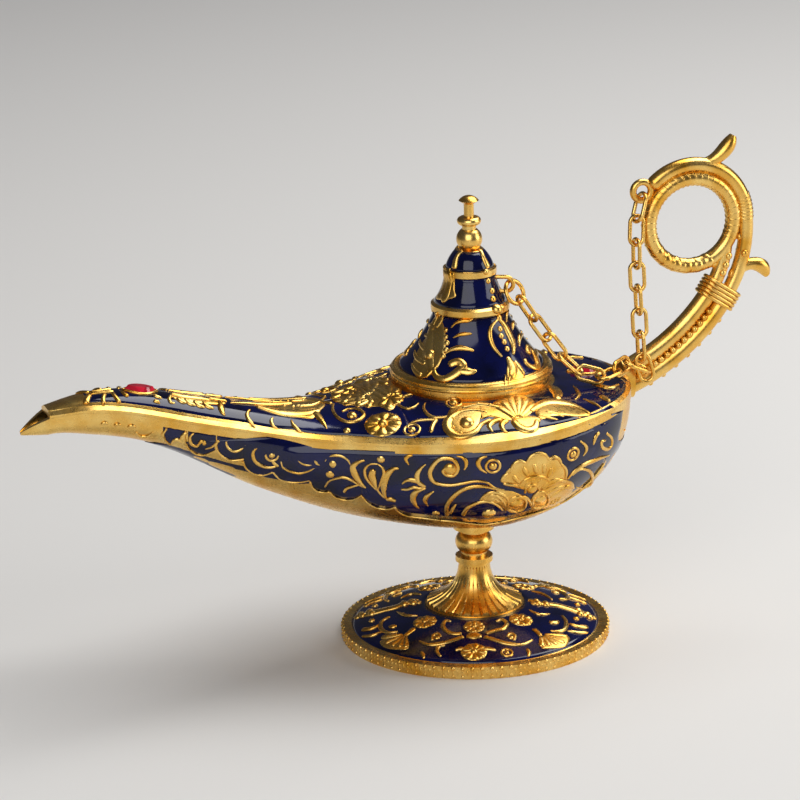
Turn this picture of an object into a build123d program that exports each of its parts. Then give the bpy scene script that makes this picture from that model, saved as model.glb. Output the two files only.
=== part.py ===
from build123d import *
import math
import os

# A table-top genie oil lamp: a gold-plated zinc casting on a fluted foot, with a long spout,
# a pagoda lid on a chain and a scrolled finger-ring handle.
# All sizes are in millimetres. The frame stands on the middle of the base's underside, with
# +X towards the handle and +Z up.

# Base plate
base_radius = 35.0
base_edge_height = 3.2
base_rim_width = 2.2
base_seat_height = 8.6
base_dome_rise = 0.7
base_wall = 2.0
base_foot_width = 3.0
base_boss_radius = 7.0

# Stem: a fluted bell, a turned knop and the threaded rod that draws them together
bell_radius = 12.5
bell_lip = 1.0
bell_height = 11.6
bell_neck_radius = 4.1
flute_count = 32
flute_depth = 0.75
knop_height = 10.4
knop_radius = 4.9
knop_collar_radius = 5.4
knop_neck_radius = 3.4
rod_radius = 2.0
rod_clearance = 0.05
rod_end_gap = 0.5
rod_base_depth = 6.2
rod_bowl_depth = 7.0
bowl_boss_radius = 5.0
bowl_boss_height = 9.5

# Hull, shared by the bowl below the seam and the deck above it
hull_centre = 2.0
hull_rear_length = 39.8
hull_half_breadth = 36.7
hull_depth = 32.6
hull_seam = 63.8
hull_crest = 73.0
rear_seam_rise = 2.1
rear_crest = 67.7
rear_fullness = 2.3
rear_shares = (0.30, 0.55, 0.74, 0.87, 0.95, 0.985)
hull_wall = 1.6
seam_gap = 0.04
band_height = 1.7
band_step = 0.45
ledge_rise = 1.5
ledge_width = 1.7
# Stations forward of the centre: place along X, half breadth, seam, keel and crest heights
spout_stations = (
    (-113.0, 4.4, 73.5, 68.2, 75.3),
    (-104.0, 6.4, 74.4, 67.5, 77.3),
    (-92.0, 8.2, 73.1, 65.0, 77.4),
    (-78.0, 9.9, 69.5, 59.1, 74.8),
    (-64.0, 11.6, 66.2, 50.6, 71.4),
    (-52.0, 14.2, 63.7, 44.7, 69.0),
    (-40.0, 19.8, 62.6, 39.7, 68.3),
    (-26.0, 27.8, 62.5, 35.5, 70.0),
    (-12.0, 34.2, 63.0, 32.5, 72.2),
)
# The lower jaw of the spout runs on past the roof to a point
jaw_stations = (
    (-116.6, 2.6, 71.6, 68.4),
    (-119.7, 0.7, 69.6, 68.7),
)
jaw_wall = 1.0

# Lid and its seat
lid_opening_radius = 17.0
lid_seat_height = 71.7
collar_radius = 20.3
collar_depth = 3.0
lid_radius = 20.9
lid_flange_height = 2.4
lid_spigot_depth = 4.0
lid_spigot_clearance = 0.3
lid_wall = 1.5
lid_cone_radius = 19.2
lid_cone_height = 16.9
lid_waist_radius = 9.4
lid_ring_radius = 10.2
lid_ring_height = 2.4
lid_tier_radius = 9.5
lid_tier_height = 7.4
lid_tier_top_radius = 6.5
lid_upper_ring_radius = 6.9
lid_upper_ring_height = 1.5
lid_dome_radius = 6.3
lid_dome_height = 4.8
lid_dome_top_radius = 3.5
lid_edge_chamfer = 0.5

# Finial, held in the lid by a stud
finial_stud_radius = 1.5
finial_stud_length = 2.6
finial_stud_clearance = 0.05
finial_ball_radius = 3.35
finial_ball_height = 5.1
finial_neck_radius = 1.8
finial_neck_height = 1.2
finial_disc_radius = 3.1
finial_disc_height = 2.2
finial_stalk_radius = 1.3
finial_stalk_height = 3.4
finial_cap_radius = 2.6
finial_cap_height = 2.2

# Handle: two strands bound together, a finger ring with an outer band, an eye and two leaves
handle_strand_radius = 2.35
handle_strand_gap = 0.2
handle_arc_centre = (23.9, 115.9)
handle_arc_radius = 54.2
handle_arc_end = -34.0
handle_root_height = 10.6
handle_root_width = 6.2
handle_root_depth = 3.2
handle_root_drop = 0.9
finger_centre = (61.2, 105.5)
finger_radius = 9.8
ring_wire_radius = 2.0
band_wire_radius = 1.95
band_merge = 0.4
band_end = 131.0
eye_centre = (47.5, 115.1)
eye_radius = 2.45
eye_wire_radius = 0.9
binding_length = 4.6
binding_proud = 0.6
knob_radius = 1.5
handle_screw_drop = 3.5
handle_screw_radius = 1.5
handle_screw_clearance = 0.05
handle_screw_depth = 3.4
handle_screw_head_radius = 2.7
handle_screw_head_height = 1.8

# Stones set in the deck
gem_length = 8.2
gem_width = 4.8
gem_girdle = 1.0
gem_crown = 1.1
gem_crown_taper = 32.0
gem_pocket_depth = 0.7
gem_clearance = 0.06
spout_gem_place = -88.5
rear_gem_place = 31.0

# Chain and the eye that holds it to the lid
link_wire = 1.05
link_inner_length = 6.6
link_inner_width = 2.7
link_play = 0.5
fold_span = 3.4
ring_wire = 1.1
lid_ring_bore = 5.2
handle_ring_length = 6.5
handle_ring_width = 3.6
lid_eye_wire = 1.1
lid_eye_height = 95.3
lid_eye_gape = 3.8
lid_eye_reach = 11.7
lid_eye_angle = -24.0
lid_eye_root = 1.4
lid_eye_clearance = 0.04
# Where the chain's joints lie, from the handle's eye down past the handle's root and up to the lid
chain_route = (
    (47.5, 0.0, 113.75),
    (45.2, -1.8, 108.2),
    (44.8, -2.7, 102.1),
    (44.7, -3.2, 96.0),
    (44.8, -3.7, 89.9),
    (44.9, -4.3, 83.9),
    (45.0, -4.9, 77.8),
    (45.0, -5.4, 71.7),
    (45.5, -5.8, 68.4),
    (40.4, -7.2, 71.1),
    (35.6, -10.8, 70.9),
    (30.5, -13.5, 70.7),
    (25.2, -13.1, 72.4),
    (21.3, -10.6, 76.3),
    (18.2, -8.3, 81.0),
    (15.1, -6.3, 86.0),
    (12.0, -4.7, 91.2),
    (9.22, -4.1, 94.95),
)
chain_twists = (85, 0, 85, 5, 90, 0, 85, 5, 85, 10, 85, 0, 65, -40, 35, -70, 40)
settle_passes = 200


def turned(*edges):
    """A solid turned about the Z axis from edges drawn as (radius, height)."""
    return revolve(Plane.XZ * make_face(Curve() + list(edges)), Axis.Z)


def pillar(radius, low, high):
    """A cylinder on the Z axis between two heights."""
    return Pos(0, 0, (low + high) / 2) * Cylinder(radius, high - low)


# Heights up the stem
bell_base = base_seat_height
bell_top = bell_base + bell_height
knop_top = bell_top + knop_height
rod_hole_radius = rod_radius + rod_clearance


def make_base_plate():
    rim_inner = base_radius - base_rim_width
    foot_inner = base_radius - base_foot_width
    recess_edge = base_edge_height - base_wall
    recess_top = base_seat_height - base_wall
    plate = turned(
        Polyline(
            (0, base_seat_height),
            (0, 0),
            (base_boss_radius, 0),
            (base_boss_radius, recess_top),
            (foot_inner, recess_edge),
            (foot_inner, 0),
            (base_radius, 0),
            (base_radius, base_edge_height),
            (rim_inner, base_edge_height),
        ),
        SagittaArc((rim_inner, base_edge_height), (bell_radius, base_seat_height), -base_dome_rise),
        Line((bell_radius, base_seat_height), (0, base_seat_height)),
    )
    return plate - pillar(rod_hole_radius, base_seat_height - rod_base_depth, base_seat_height)


def bell_curve():
    """The bell's flare, from its lip to its neck, drawn as (radius, height)."""
    span = bell_radius - bell_neck_radius
    return Bezier(
        (bell_radius, bell_base + bell_lip),
        (bell_neck_radius + span * 0.25, bell_base + bell_height * 0.25),
        (bell_neck_radius, bell_base + bell_height * 0.6),
        (bell_neck_radius, bell_top),
    )


def make_stem_bell():
    flare = bell_curve()
    bell = turned(
        Polyline(
            (bell_neck_radius, bell_top),
            (rod_hole_radius, bell_top),
            (rod_hole_radius, bell_base),
            (bell_radius, bell_base),
            (bell_radius, bell_base + bell_lip),
        ),
        flare,
    )
    upright = Plane.XZ * flare
    cuts = []
    for share in (0.0, 0.3, 0.62, 0.94):
        spot = upright @ share
        size = spot.X / bell_radius
        half = math.pi * spot.X / flute_count * 0.55
        across = Plane(origin=spot, x_dir=(0, 1, 0), z_dir=upright % share)
        if (across.to_local_coords(spot + Vector(1, 0, 1))).Y < 0:
            across = Plane(origin=spot, x_dir=(0, -1, 0), z_dir=upright % share)
        notch = Polyline((-half, 0.12), (0, -flute_depth * size), (half, 0.12), close=True)
        cuts.append(across * make_face(notch))
    outward = cuts[0].moved(Location((upright % 0) * -2.5))
    groove = loft([outward] + cuts, ruled=True)
    turn = 360 / flute_count
    return bell - [Rot(0, 0, turn * index) * groove for index in range(flute_count)]


def make_stem_knop():
    collar = knop_height * 0.14
    neck = knop_height * 0.10
    low = bell_top + collar
    high = knop_top - collar
    knop = turned(
        Polyline(
            (knop_neck_radius, low + neck),
            (knop_neck_radius, low),
            (knop_radius, low),
            (knop_radius, bell_top),
            (rod_hole_radius, bell_top),
            (rod_hole_radius, knop_top),
            (knop_collar_radius, knop_top),
            (knop_collar_radius, high),
            (knop_neck_radius, high),
            (knop_neck_radius, high - neck),
        ),
        ThreePointArc(
            (knop_neck_radius, high - neck),
            (knop_radius, (low + high) / 2),
            (knop_neck_radius, low + neck),
        ),
    )
    return knop


def make_stem_rod():
    low = base_seat_height - rod_base_depth + rod_end_gap
    high = knop_top + rod_bowl_depth - rod_end_gap
    return chamfer(pillar(rod_radius, low, high).edges(), rod_radius * 0.25)


def rear_station(share):
    """A hull station behind the centre, at a share of the rear length."""
    depth = (1 - share ** rear_fullness) ** (1 / rear_fullness)
    seam = hull_seam + rear_seam_rise * math.sin(share * math.pi / 2)
    crest = hull_crest + (rear_crest - hull_crest) * math.sin(share * math.pi / 2)
    return (
        hull_centre + hull_rear_length * share,
        hull_half_breadth * math.sqrt(1 - share ** 2),
        seam,
        seam - hull_depth * depth,
        crest,
    )


midship = (hull_centre, hull_half_breadth, hull_seam, hull_seam - hull_depth, hull_crest)
hull_stations = spout_stations + (midship,) + tuple(rear_station(share) for share in rear_shares)
rear_face = hull_stations[-1][0]
rear_seam = hull_stations[-1][2]


def station_plane(place):
    """The cross plane of the hull at a place along X, with +Y across and +Z up."""
    return Plane(origin=(place, 0, 0), x_dir=(0, 1, 0), z_dir=(1, 0, 0))


def quarter(outer, inner, pull):
    """A quarter-round curve that leaves outer upright and meets inner level."""
    return Bezier(
        outer,
        (outer[0], outer[1] + (inner[1] - outer[1]) * pull),
        (inner[0] + (outer[0] - inner[0]) * pull, inner[1]),
        inner,
    )


ellipse_pull = 0.5523


def hull_outer_face(place, half, seam, keel, crest):
    """The hull's outside at a station: keel, seam band, stepped lip and arched deck."""
    side = half - band_step
    under = seam - band_height
    shoulder = seam + ledge_rise * 0.5
    ledge = half - ledge_width
    rim = seam + ledge_rise
    swell = rim + (crest - rim) * 0.78
    edges = [
        quarter((side, under), (0, keel), ellipse_pull),
        Line((side, under), (half, under)),
        Line((half, under), (half, shoulder)),
        Line((half, shoulder), (ledge, rim)),
        Bezier((ledge, rim), (half * 0.62, swell), (half * 0.3, crest), (0, crest)),
        Bezier((-ledge, rim), (-half * 0.62, swell), (-half * 0.3, crest), (0, crest)),
        Line((-ledge, rim), (-half, shoulder)),
        Line((-half, shoulder), (-half, under)),
        Line((-half, under), (-side, under)),
        quarter((-side, under), (0, keel), ellipse_pull),
    ]
    return station_plane(place) * make_face(Curve() + edges)


def hull_inner_face(place, half, seam, keel, crest):
    """The hull's hollow at a station."""
    inside = half - hull_wall
    floor = keel + hull_wall
    top = crest - hull_wall
    swell = seam + (top - seam) * 0.78
    edges = [
        quarter((inside, seam), (0, floor), ellipse_pull),
        Bezier((inside, seam), (inside * 0.66, swell), (inside * 0.3, top), (0, top)),
        Bezier((-inside, seam), (-inside * 0.66, swell), (-inside * 0.3, top), (0, top)),
        quarter((-inside, seam), (0, floor), ellipse_pull),
    ]
    return station_plane(place) * make_face(Curve() + edges)


def make_hull():
    hollow = loft([hull_inner_face(*station) for station in hull_stations[:-1]])
    return loft([hull_outer_face(*station) for station in hull_stations]) - hollow


def make_above_seam():
    """Everything above the seam, a curve that follows the stations."""
    first, last = hull_stations[0], hull_stations[-1]
    seam = Spline(*[(station[0], station[2]) for station in hull_stations])
    front = (first[0] - hull_wall, first[2])
    rear = (last[0] + hull_wall, last[2])
    high = lid_seat_height * 2
    face = make_face(Curve() + [
        seam,
        Polyline((last[0], last[2]), rear, (rear[0], high), (front[0], high), front, (first[0], first[2])),
    ])
    return extrude(Plane.XZ * face, hull_half_breadth * 2, both=True)


def jaw_outer_face(place, half, seam, keel, step, band):
    side = half - step
    under = seam - band
    edges = [
        Line((-half, seam), (half, seam)),
        Line((half, seam), (half, under)),
        Line((half, under), (side, under)),
        quarter((side, under), (0, keel), ellipse_pull),
        quarter((-side, under), (0, keel), ellipse_pull),
        Line((-side, under), (-half, under)),
        Line((-half, under), (-half, seam)),
    ]
    return station_plane(place) * make_face(Curve() + edges)


def jaw_inner_face(place, half, seam, floor):
    edges = [
        Line((-half, seam), (-half, seam + jaw_wall)),
        Line((-half, seam + jaw_wall), (half, seam + jaw_wall)),
        Line((half, seam + jaw_wall), (half, seam)),
        quarter((half, seam), (0, floor), ellipse_pull),
        quarter((-half, seam), (0, floor), ellipse_pull),
    ]
    return station_plane(place) * make_face(Curve() + edges)


def make_jaw():
    """The open lower lip of the spout, from the mouth to its point."""
    place, half, seam, keel, _ = spout_stations[0]
    outer = [jaw_outer_face(place, half, seam, keel, band_step, band_height)]
    inner = [jaw_inner_face(place, half - hull_wall, seam, keel + hull_wall)]
    for place, half, seam, keel in jaw_stations:
        outer.append(jaw_outer_face(place, half, seam, keel, half * 0.1, half * 0.3))
        inner.append(jaw_inner_face(place, half * 0.6, seam, seam - (seam - keel) * 0.6))
    return loft(outer) - loft(inner)


def make_bowl():
    bowl = make_hull() - make_above_seam()
    bowl += make_jaw()
    foot = pillar(knop_collar_radius, knop_top, knop_top + bowl_boss_height * 0.4)
    boss = pillar(bowl_boss_radius, knop_top, knop_top + bowl_boss_height)
    bowl += [foot, boss]
    bowl -= pillar(rod_hole_radius, knop_top, knop_top + rod_bowl_depth)
    bore = Cylinder(handle_screw_radius + handle_screw_clearance, hull_wall * 8)
    return bowl - Pos(rear_face, 0, rear_seam - handle_screw_drop) * Rot(0, 90, 0) * bore


def crest_at(place):
    """Height and slope of the deck's crest at a place along X."""
    for back, front in zip(hull_stations, hull_stations[1:]):
        if back[0] <= place <= front[0]:
            slope = (front[4] - back[4]) / (front[0] - back[0])
            return back[4] + slope * (place - back[0]), slope


def gem_plane(place):
    """The floor of a stone's pocket, level with the crest's slope."""
    height, slope = crest_at(place)
    along = Vector(1, 0, slope).normalized()
    normal = Vector(-slope, 0, 1).normalized()
    return Plane(origin=Vector(place, 0, height) - normal * gem_pocket_depth, x_dir=along, z_dir=normal)


def gem_outline(grow):
    half = gem_length / 2 + grow
    side = gem_width / 2 + grow
    return make_face(Curve() + [
        ThreePointArc((-half, 0), (0, -side), (half, 0)),
        ThreePointArc((half, 0), (0, side), (-half, 0)),
    ])


def make_gem(place):
    floor = gem_plane(place)
    girdle = extrude(gem_outline(0), gem_girdle)
    crown = extrude(Pos(0, 0, gem_girdle) * gem_outline(0), gem_crown, taper=gem_crown_taper)
    return floor.location * (girdle + crown)


def make_deck():
    deck = make_hull() & (Pos(0, 0, seam_gap) * make_above_seam())
    deck += pillar(collar_radius, lid_seat_height - collar_depth, lid_seat_height)
    deck -= pillar(lid_opening_radius, hull_seam - hull_wall, hull_crest + hull_wall)
    for place in (spout_gem_place, rear_gem_place):
        deck -= gem_plane(place).location * extrude(gem_outline(gem_clearance), gem_girdle + gem_crown)
    return deck


# Heights up the lid
cone_base = lid_seat_height + lid_flange_height
ring_base = cone_base + lid_cone_height - lid_flange_height
tier_base = ring_base + lid_ring_height
upper_ring_base = tier_base + lid_tier_height
dome_base = upper_ring_base + lid_upper_ring_height
lid_top = dome_base + lid_dome_height
eye_direction = Vector(math.cos(math.radians(lid_eye_angle)), math.sin(math.radians(lid_eye_angle)), 0)


def make_lid():
    spigot = lid_opening_radius - lid_spigot_clearance
    cut = lid_edge_chamfer
    inside = spigot - lid_wall
    low = lid_seat_height - lid_spigot_depth
    outline = [
        Polyline(
            (spigot, low),
            (spigot, lid_seat_height),
            (lid_radius, lid_seat_height),
            (lid_radius, cone_base - cut),
            (lid_radius - cut, cone_base),
            (lid_cone_radius, cone_base),
        ),
        Bezier(
            (lid_cone_radius, cone_base),
            (lid_cone_radius * 0.82, cone_base + lid_cone_height * 0.2),
            (lid_waist_radius * 1.2, ring_base - lid_cone_height * 0.3),
            (lid_waist_radius, ring_base),
        ),
        Polyline(
            (lid_waist_radius, ring_base),
            (lid_ring_radius - cut, ring_base),
            (lid_ring_radius, ring_base + cut),
            (lid_ring_radius, tier_base - cut),
            (lid_tier_radius, tier_base),
        ),
        Bezier(
            (lid_tier_radius, tier_base),
            (lid_tier_radius * 0.82, tier_base + lid_tier_height * 0.25),
            (lid_tier_top_radius * 1.03, tier_base + lid_tier_height * 0.7),
            (lid_tier_top_radius, upper_ring_base),
        ),
        Polyline(
            (lid_tier_top_radius, upper_ring_base),
            (lid_upper_ring_radius, upper_ring_base),
            (lid_upper_ring_radius, dome_base),
            (lid_dome_radius, dome_base),
        ),
        SagittaArc((lid_dome_radius, dome_base), (lid_dome_top_radius, lid_top), -lid_dome_height * 0.08),
        Polyline(
            (lid_dome_top_radius, lid_top),
            (finial_stud_radius, lid_top),
            (finial_stud_radius, upper_ring_base + lid_wall),
            (lid_tier_top_radius - lid_wall * 1.2, upper_ring_base),
            (lid_tier_radius - lid_wall * 2.4, tier_base),
            (lid_waist_radius - lid_wall, ring_base),
            (inside, lid_seat_height + lid_wall),
            (inside, low),
            (spigot, low),
        ),
    ]
    lid = revolve(Plane.XZ * make_face(Curve() + outline), Axis.Z)
    leg = Cylinder(lid_eye_wire / 2 + lid_eye_clearance, lid_eye_reach)
    for side in (-1, 1):
        height = lid_eye_height + side * lid_eye_gape / 2
        start = eye_direction * (eye_leg_start(height) + lid_eye_reach / 2) + Vector(0, 0, height)
        lid -= Plane(origin=start, z_dir=eye_direction).location * leg
    return lid


def eye_leg_start(height):
    """Radius where a leg of the lid's eye ends, inside the tier's wall."""
    share = (height - tier_base) / lid_tier_height
    surface = lid_tier_radius + (lid_tier_top_radius - lid_tier_radius) * share
    return surface - lid_eye_root


def make_lid_eye():
    bend = lid_eye_gape / 2
    elbow = lid_eye_reach - lid_eye_wire / 2 - bend
    high = lid_eye_height + bend
    low = lid_eye_height - bend
    path = Curve() + [
        Line((eye_leg_start(high), high), (elbow, high)),
        ThreePointArc((elbow, high), (elbow + bend, lid_eye_height), (elbow, low)),
        Line((elbow, low), (eye_leg_start(low), low)),
    ]
    wire = Wire(Plane.XZ * path)
    section = Plane(origin=wire @ 0, z_dir=wire % 0) * Circle(lid_eye_wire / 2)
    return Rot(0, 0, lid_eye_angle) * sweep(section, path=wire)


def make_lid_finial():
    ball_top = lid_top + finial_ball_height
    disc_base = ball_top + finial_neck_height
    disc_top = disc_base + finial_disc_height
    cap_base = disc_top + finial_stalk_height
    cap_top = cap_base + finial_cap_height
    stud = finial_stud_radius - finial_stud_clearance
    foot = math.sqrt(finial_ball_radius ** 2 - (finial_ball_height / 2) ** 2)
    cap_edge = cap_base + finial_cap_height * 0.4
    cap_rise = cap_top - cap_edge
    cap_round = (finial_cap_radius ** 2 + cap_rise ** 2) / (2 * cap_rise)
    half_turn = math.asin(finial_cap_radius / cap_round) / 2
    cap_shoulder = (cap_round * math.sin(half_turn), cap_top - cap_round * (1 - math.cos(half_turn)))
    flat = finial_disc_radius - finial_disc_height / 2
    return turned(
        Polyline((0, cap_top), (0, lid_top - finial_stud_length), (stud, lid_top - finial_stud_length),
                 (stud, lid_top), (foot, lid_top)),
        ThreePointArc((foot, lid_top), (finial_ball_radius, lid_top + finial_ball_height / 2),
                      (foot, ball_top)),
        Line((foot, ball_top), (finial_neck_radius, ball_top)),
        Line((finial_neck_radius, ball_top), (finial_neck_radius, disc_base)),
        Line((finial_neck_radius, disc_base), (flat, disc_base)),
        ThreePointArc((flat, disc_base), (finial_disc_radius, disc_base + finial_disc_height / 2),
                      (flat, disc_top)),
        Line((flat, disc_top), (finial_stalk_radius, disc_top)),
        Line((finial_stalk_radius, disc_top), (finial_stalk_radius, cap_base)),
        Line((finial_stalk_radius, cap_base), (finial_cap_radius, cap_edge)),
        ThreePointArc((finial_cap_radius, cap_edge), cap_shoulder, (0, cap_top)),
    )


def in_handle_plane(point):
    """A point of the handle's upright plane from its (X, Z) pair."""
    return Vector(point[0], 0, point[1])


def around(centre, radius, angle):
    """A point on a circle in the handle's plane."""
    turn = math.radians(angle)
    return Vector(centre[0] + radius * math.cos(turn), 0, centre[1] + radius * math.sin(turn))


def arc_about(centre, radius, start, end):
    """An arc in the handle's plane between two angles."""
    return ThreePointArc(
        around(centre, radius, start),
        around(centre, radius, (start + end) / 2),
        around(centre, radius, end),
    )


def pipe(path, radius):
    """A round bar along an edge, with a rounded far end."""
    section = Plane(origin=path @ 0, z_dir=path % 0) * Circle(radius)
    return sweep(section, path=path) + Pos(path @ 1) * Sphere(radius)


def leaf(points, radii):
    """A curling leaf: round sections that swell and close along hand-set points."""
    sections = []
    for index, point in enumerate(points):
        before = points[max(index - 1, 0)]
        after = points[min(index + 1, len(points) - 1)]
        heading = in_handle_plane(after) - in_handle_plane(before)
        sections.append(Plane(origin=in_handle_plane(point), z_dir=heading) * Circle(radii[index]))
    return loft(sections)


def root_angle(radius):
    """Angle on the handle's arc where it meets the middle of the root pad."""
    reach = rear_face + handle_root_depth / 2 - handle_arc_centre[0]
    return -math.degrees(math.acos(reach / radius))


ring_middle = finger_radius + ring_wire_radius
band_middle = ring_middle + ring_wire_radius + band_wire_radius - band_merge
root_height = rear_seam - handle_root_drop
screw_height = rear_seam - handle_screw_drop


def make_handle():
    seat = Plane(origin=(rear_face, 0, root_height), x_dir=(0, 0, 1), z_dir=(1, 0, 0))
    handle = extrude(seat * SlotOverall(handle_root_height, handle_root_width), handle_root_depth)
    strand_offset = handle_strand_radius + handle_strand_gap / 2
    upper = handle_arc_radius - strand_offset
    lower = handle_arc_radius + strand_offset
    for radius in (upper, lower):
        handle += pipe(arc_about(handle_arc_centre, radius, root_angle(radius), handle_arc_end),
                       handle_strand_radius)
    # Finger ring, outer band and the eye at the band's end
    upright = Plane(origin=in_handle_plane(finger_centre), z_dir=(0, 1, 0))
    handle += upright.location * Torus(ring_middle, ring_wire_radius)
    tangent = Vector(-math.sin(math.radians(handle_arc_end)), 0, math.cos(math.radians(handle_arc_end)))
    lower_end = around(handle_arc_centre, lower, handle_arc_end)
    upper_end = around(handle_arc_centre, upper, handle_arc_end)
    handle += pipe(TangentArc(lower_end, around(finger_centre, band_middle, 0), tangent=tangent),
                   band_wire_radius)
    handle += pipe(TangentArc(upper_end, around(finger_centre, ring_middle, -36), tangent=tangent),
                   band_wire_radius)
    handle += pipe(arc_about(finger_centre, band_middle, 0, band_end), band_wire_radius)
    eye = Plane(origin=in_handle_plane(eye_centre), z_dir=(0, 1, 0))
    handle += eye.location * Torus(eye_radius, eye_wire_radius)
    handle += Pos(around(finger_centre, ring_middle + ring_wire_radius * 0.6, -62)) * Sphere(knob_radius)
    # Binding round both strands
    spot = around(handle_arc_centre, handle_arc_radius, handle_arc_end)
    out = spot - in_handle_plane(handle_arc_centre)
    wrap = Plane(origin=spot, x_dir=out, z_dir=Vector(-out.Z, 0, out.X))
    width = 2 * (handle_strand_radius + binding_proud)
    length = width + 2 * strand_offset
    handle += extrude(wrap * SlotOverall(length, width), binding_length / 2, both=True)
    # Two leaves that flare from the band
    handle += leaf(((63.0, 120.7), (68.0, 121.9), (71.2, 124.6), (73.0, 127.6)), (1.4, 1.7, 2.0, 0.9))
    handle += leaf(((72.6, 88.6), (76.6, 92.2), (80.4, 91.9), (82.8, 88.9)), (1.4, 1.6, 1.9, 0.9))
    bore = Cylinder(handle_screw_radius + handle_screw_clearance, 2 * handle_screw_depth)
    return handle - Pos(rear_face, 0, screw_height) * Rot(0, 90, 0) * bore


def make_handle_screw():
    """A pan-head screw driven from inside the bowl into the handle's root."""
    wall_inner = hull_stations[-2][0]
    tip = rear_face + handle_screw_depth - rod_end_gap
    shank = Cylinder(handle_screw_radius, tip - wall_inner)
    head = Cylinder(handle_screw_head_radius, handle_screw_head_height)
    along = Rot(0, 90, 0)
    screw = Pos((tip + wall_inner) / 2, 0, screw_height) * along * shank
    return screw + Pos(wall_inner - handle_screw_head_height / 2, 0, screw_height) * along * head


def oval_link(inner_length, inner_width, wire):
    """A closed wire link about the origin, long in X and flat in X-Y."""
    half = (inner_length - inner_width) / 2
    bend = (inner_width + wire) / 2
    edges = [
        Line((-half, bend), (half, bend)),
        ThreePointArc((half, bend), (half + bend, 0), (half, -bend)),
        Line((half, -bend), (-half, -bend)),
        ThreePointArc((-half, -bend), (-half - bend, 0), (-half, bend)),
    ]
    path = Wire(edges)
    section = Plane(origin=path @ 0, z_dir=path % 0) * Circle(wire / 2)
    return sweep(section, path=path)


link_pitch = link_inner_length - link_play
chain_count = len(chain_route) - 1
# The lowest link hangs on, with the next link lying part-way up inside it
fold_index = 7


def chain_spans():
    """Distance between the two joints of each piece of the chain, from the handle to the lid."""
    spans = [link_pitch] * chain_count
    spans[0] = handle_ring_length - link_play
    spans[-1] = lid_ring_bore - link_play
    spans[fold_index] = fold_span
    return spans


def settled_joints():
    """The route's points drawn to the links' spans, with both ends held."""
    joints = [Vector(*point) for point in chain_route]
    first, last = joints[0], joints[-1]
    spans = chain_spans()
    for _ in range(settle_passes):
        joints[-1] = last
        for index in reversed(range(chain_count)):
            pull = (joints[index] - joints[index + 1]).normalized()
            joints[index] = joints[index + 1] + pull * spans[index]
        joints[0] = first
        for index in range(chain_count):
            pull = (joints[index + 1] - joints[index]).normalized()
            joints[index + 1] = joints[index] + pull * spans[index]
    return joints


def chain_piece(index, start, end):
    """One link or ring of the chain between its two joints, turned by its twist."""
    if index == 0:
        piece = oval_link(handle_ring_length, handle_ring_width, ring_wire)
    elif index == chain_count - 1:
        ring = (lid_ring_bore + ring_wire) / 2
        piece = Torus(ring, ring_wire / 2)
    else:
        piece = oval_link(link_inner_length, link_inner_width, link_wire)
    along = (end - start).normalized()
    side = Vector(0, -1, 0) - along * Vector(0, -1, 0).dot(along)
    normal = side.normalized().rotate(Axis((0, 0, 0), along), chain_twists[index])
    middle = (start + end) / 2
    if index == fold_index:
        middle = start + along * (link_pitch / 2)
    return Plane(origin=middle, x_dir=along, z_dir=normal).location * piece


def chain_name(index):
    if index == 0:
        return "handle_ring"
    if index == chain_count - 1:
        return "lid_ring"
    return f"chain_link_{index:02d}"


pieces = {
    "base_plate": make_base_plate(),
    "stem_bell": make_stem_bell(),
    "stem_knop": make_stem_knop(),
    "stem_rod": make_stem_rod(),
    "bowl": make_bowl(),
    "deck": make_deck(),
    "spout_gem": make_gem(spout_gem_place),
    "rear_gem": make_gem(rear_gem_place),
    "lid": make_lid(),
    "lid_finial": make_lid_finial(),
    "lid_eye": make_lid_eye(),
    "handle": make_handle(),
    "handle_screw": make_handle_screw(),
}
joints = settled_joints()
for index in range(chain_count):
    pieces[chain_name(index)] = chain_piece(index, joints[index], joints[index + 1])

os.makedirs("parts", exist_ok=True)
for name, piece in pieces.items():
    export_step(piece, os.path.join("parts", name + ".step"))
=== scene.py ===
import math

import bmesh
import bpy
from mathutils import Matrix, Vector
from mathutils.bvhtree import BVHTree


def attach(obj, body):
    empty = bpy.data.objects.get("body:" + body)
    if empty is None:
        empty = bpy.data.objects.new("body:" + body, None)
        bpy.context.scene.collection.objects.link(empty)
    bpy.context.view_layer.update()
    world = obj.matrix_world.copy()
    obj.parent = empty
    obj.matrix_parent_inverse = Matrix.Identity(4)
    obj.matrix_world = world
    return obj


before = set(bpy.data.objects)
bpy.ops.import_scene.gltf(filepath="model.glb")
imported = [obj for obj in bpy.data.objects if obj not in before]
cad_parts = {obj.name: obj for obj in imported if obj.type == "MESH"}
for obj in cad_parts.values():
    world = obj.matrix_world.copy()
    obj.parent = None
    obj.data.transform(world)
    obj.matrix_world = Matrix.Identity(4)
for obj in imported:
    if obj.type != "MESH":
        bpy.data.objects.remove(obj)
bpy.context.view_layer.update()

# Viewpoint
# The camera looks down on the lamp from its chain side, turned towards the spout, through a
# long lens. Ornament is placed by the pixel of the photograph that shows it, in its 800 x 800
# frame, and lands on the casting that carries it.
mm = 0.001
image_size = 800
focal_pixels = 4219.3
camera_distance = 1044.6 * mm
camera_height = 390.2 * mm
camera_yaw = math.radians(19)
camera_pan = 0.0178
camera_pitch = 0.3024
camera_roll = -0.0206
turn_to_lamp = Matrix.Rotation(-camera_yaw, 3, "Z")
level = math.cos(camera_pitch)
looking = Vector((-math.sin(camera_pan) * level, math.cos(camera_pan) * level, -math.sin(camera_pitch)))
sideways = Vector((math.cos(camera_pan), math.sin(camera_pan), 0))
upright = sideways.cross(looking)
view_forward = turn_to_lamp @ looking
view_right = turn_to_lamp @ (sideways * math.cos(camera_roll) + upright * math.sin(camera_roll))
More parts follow.
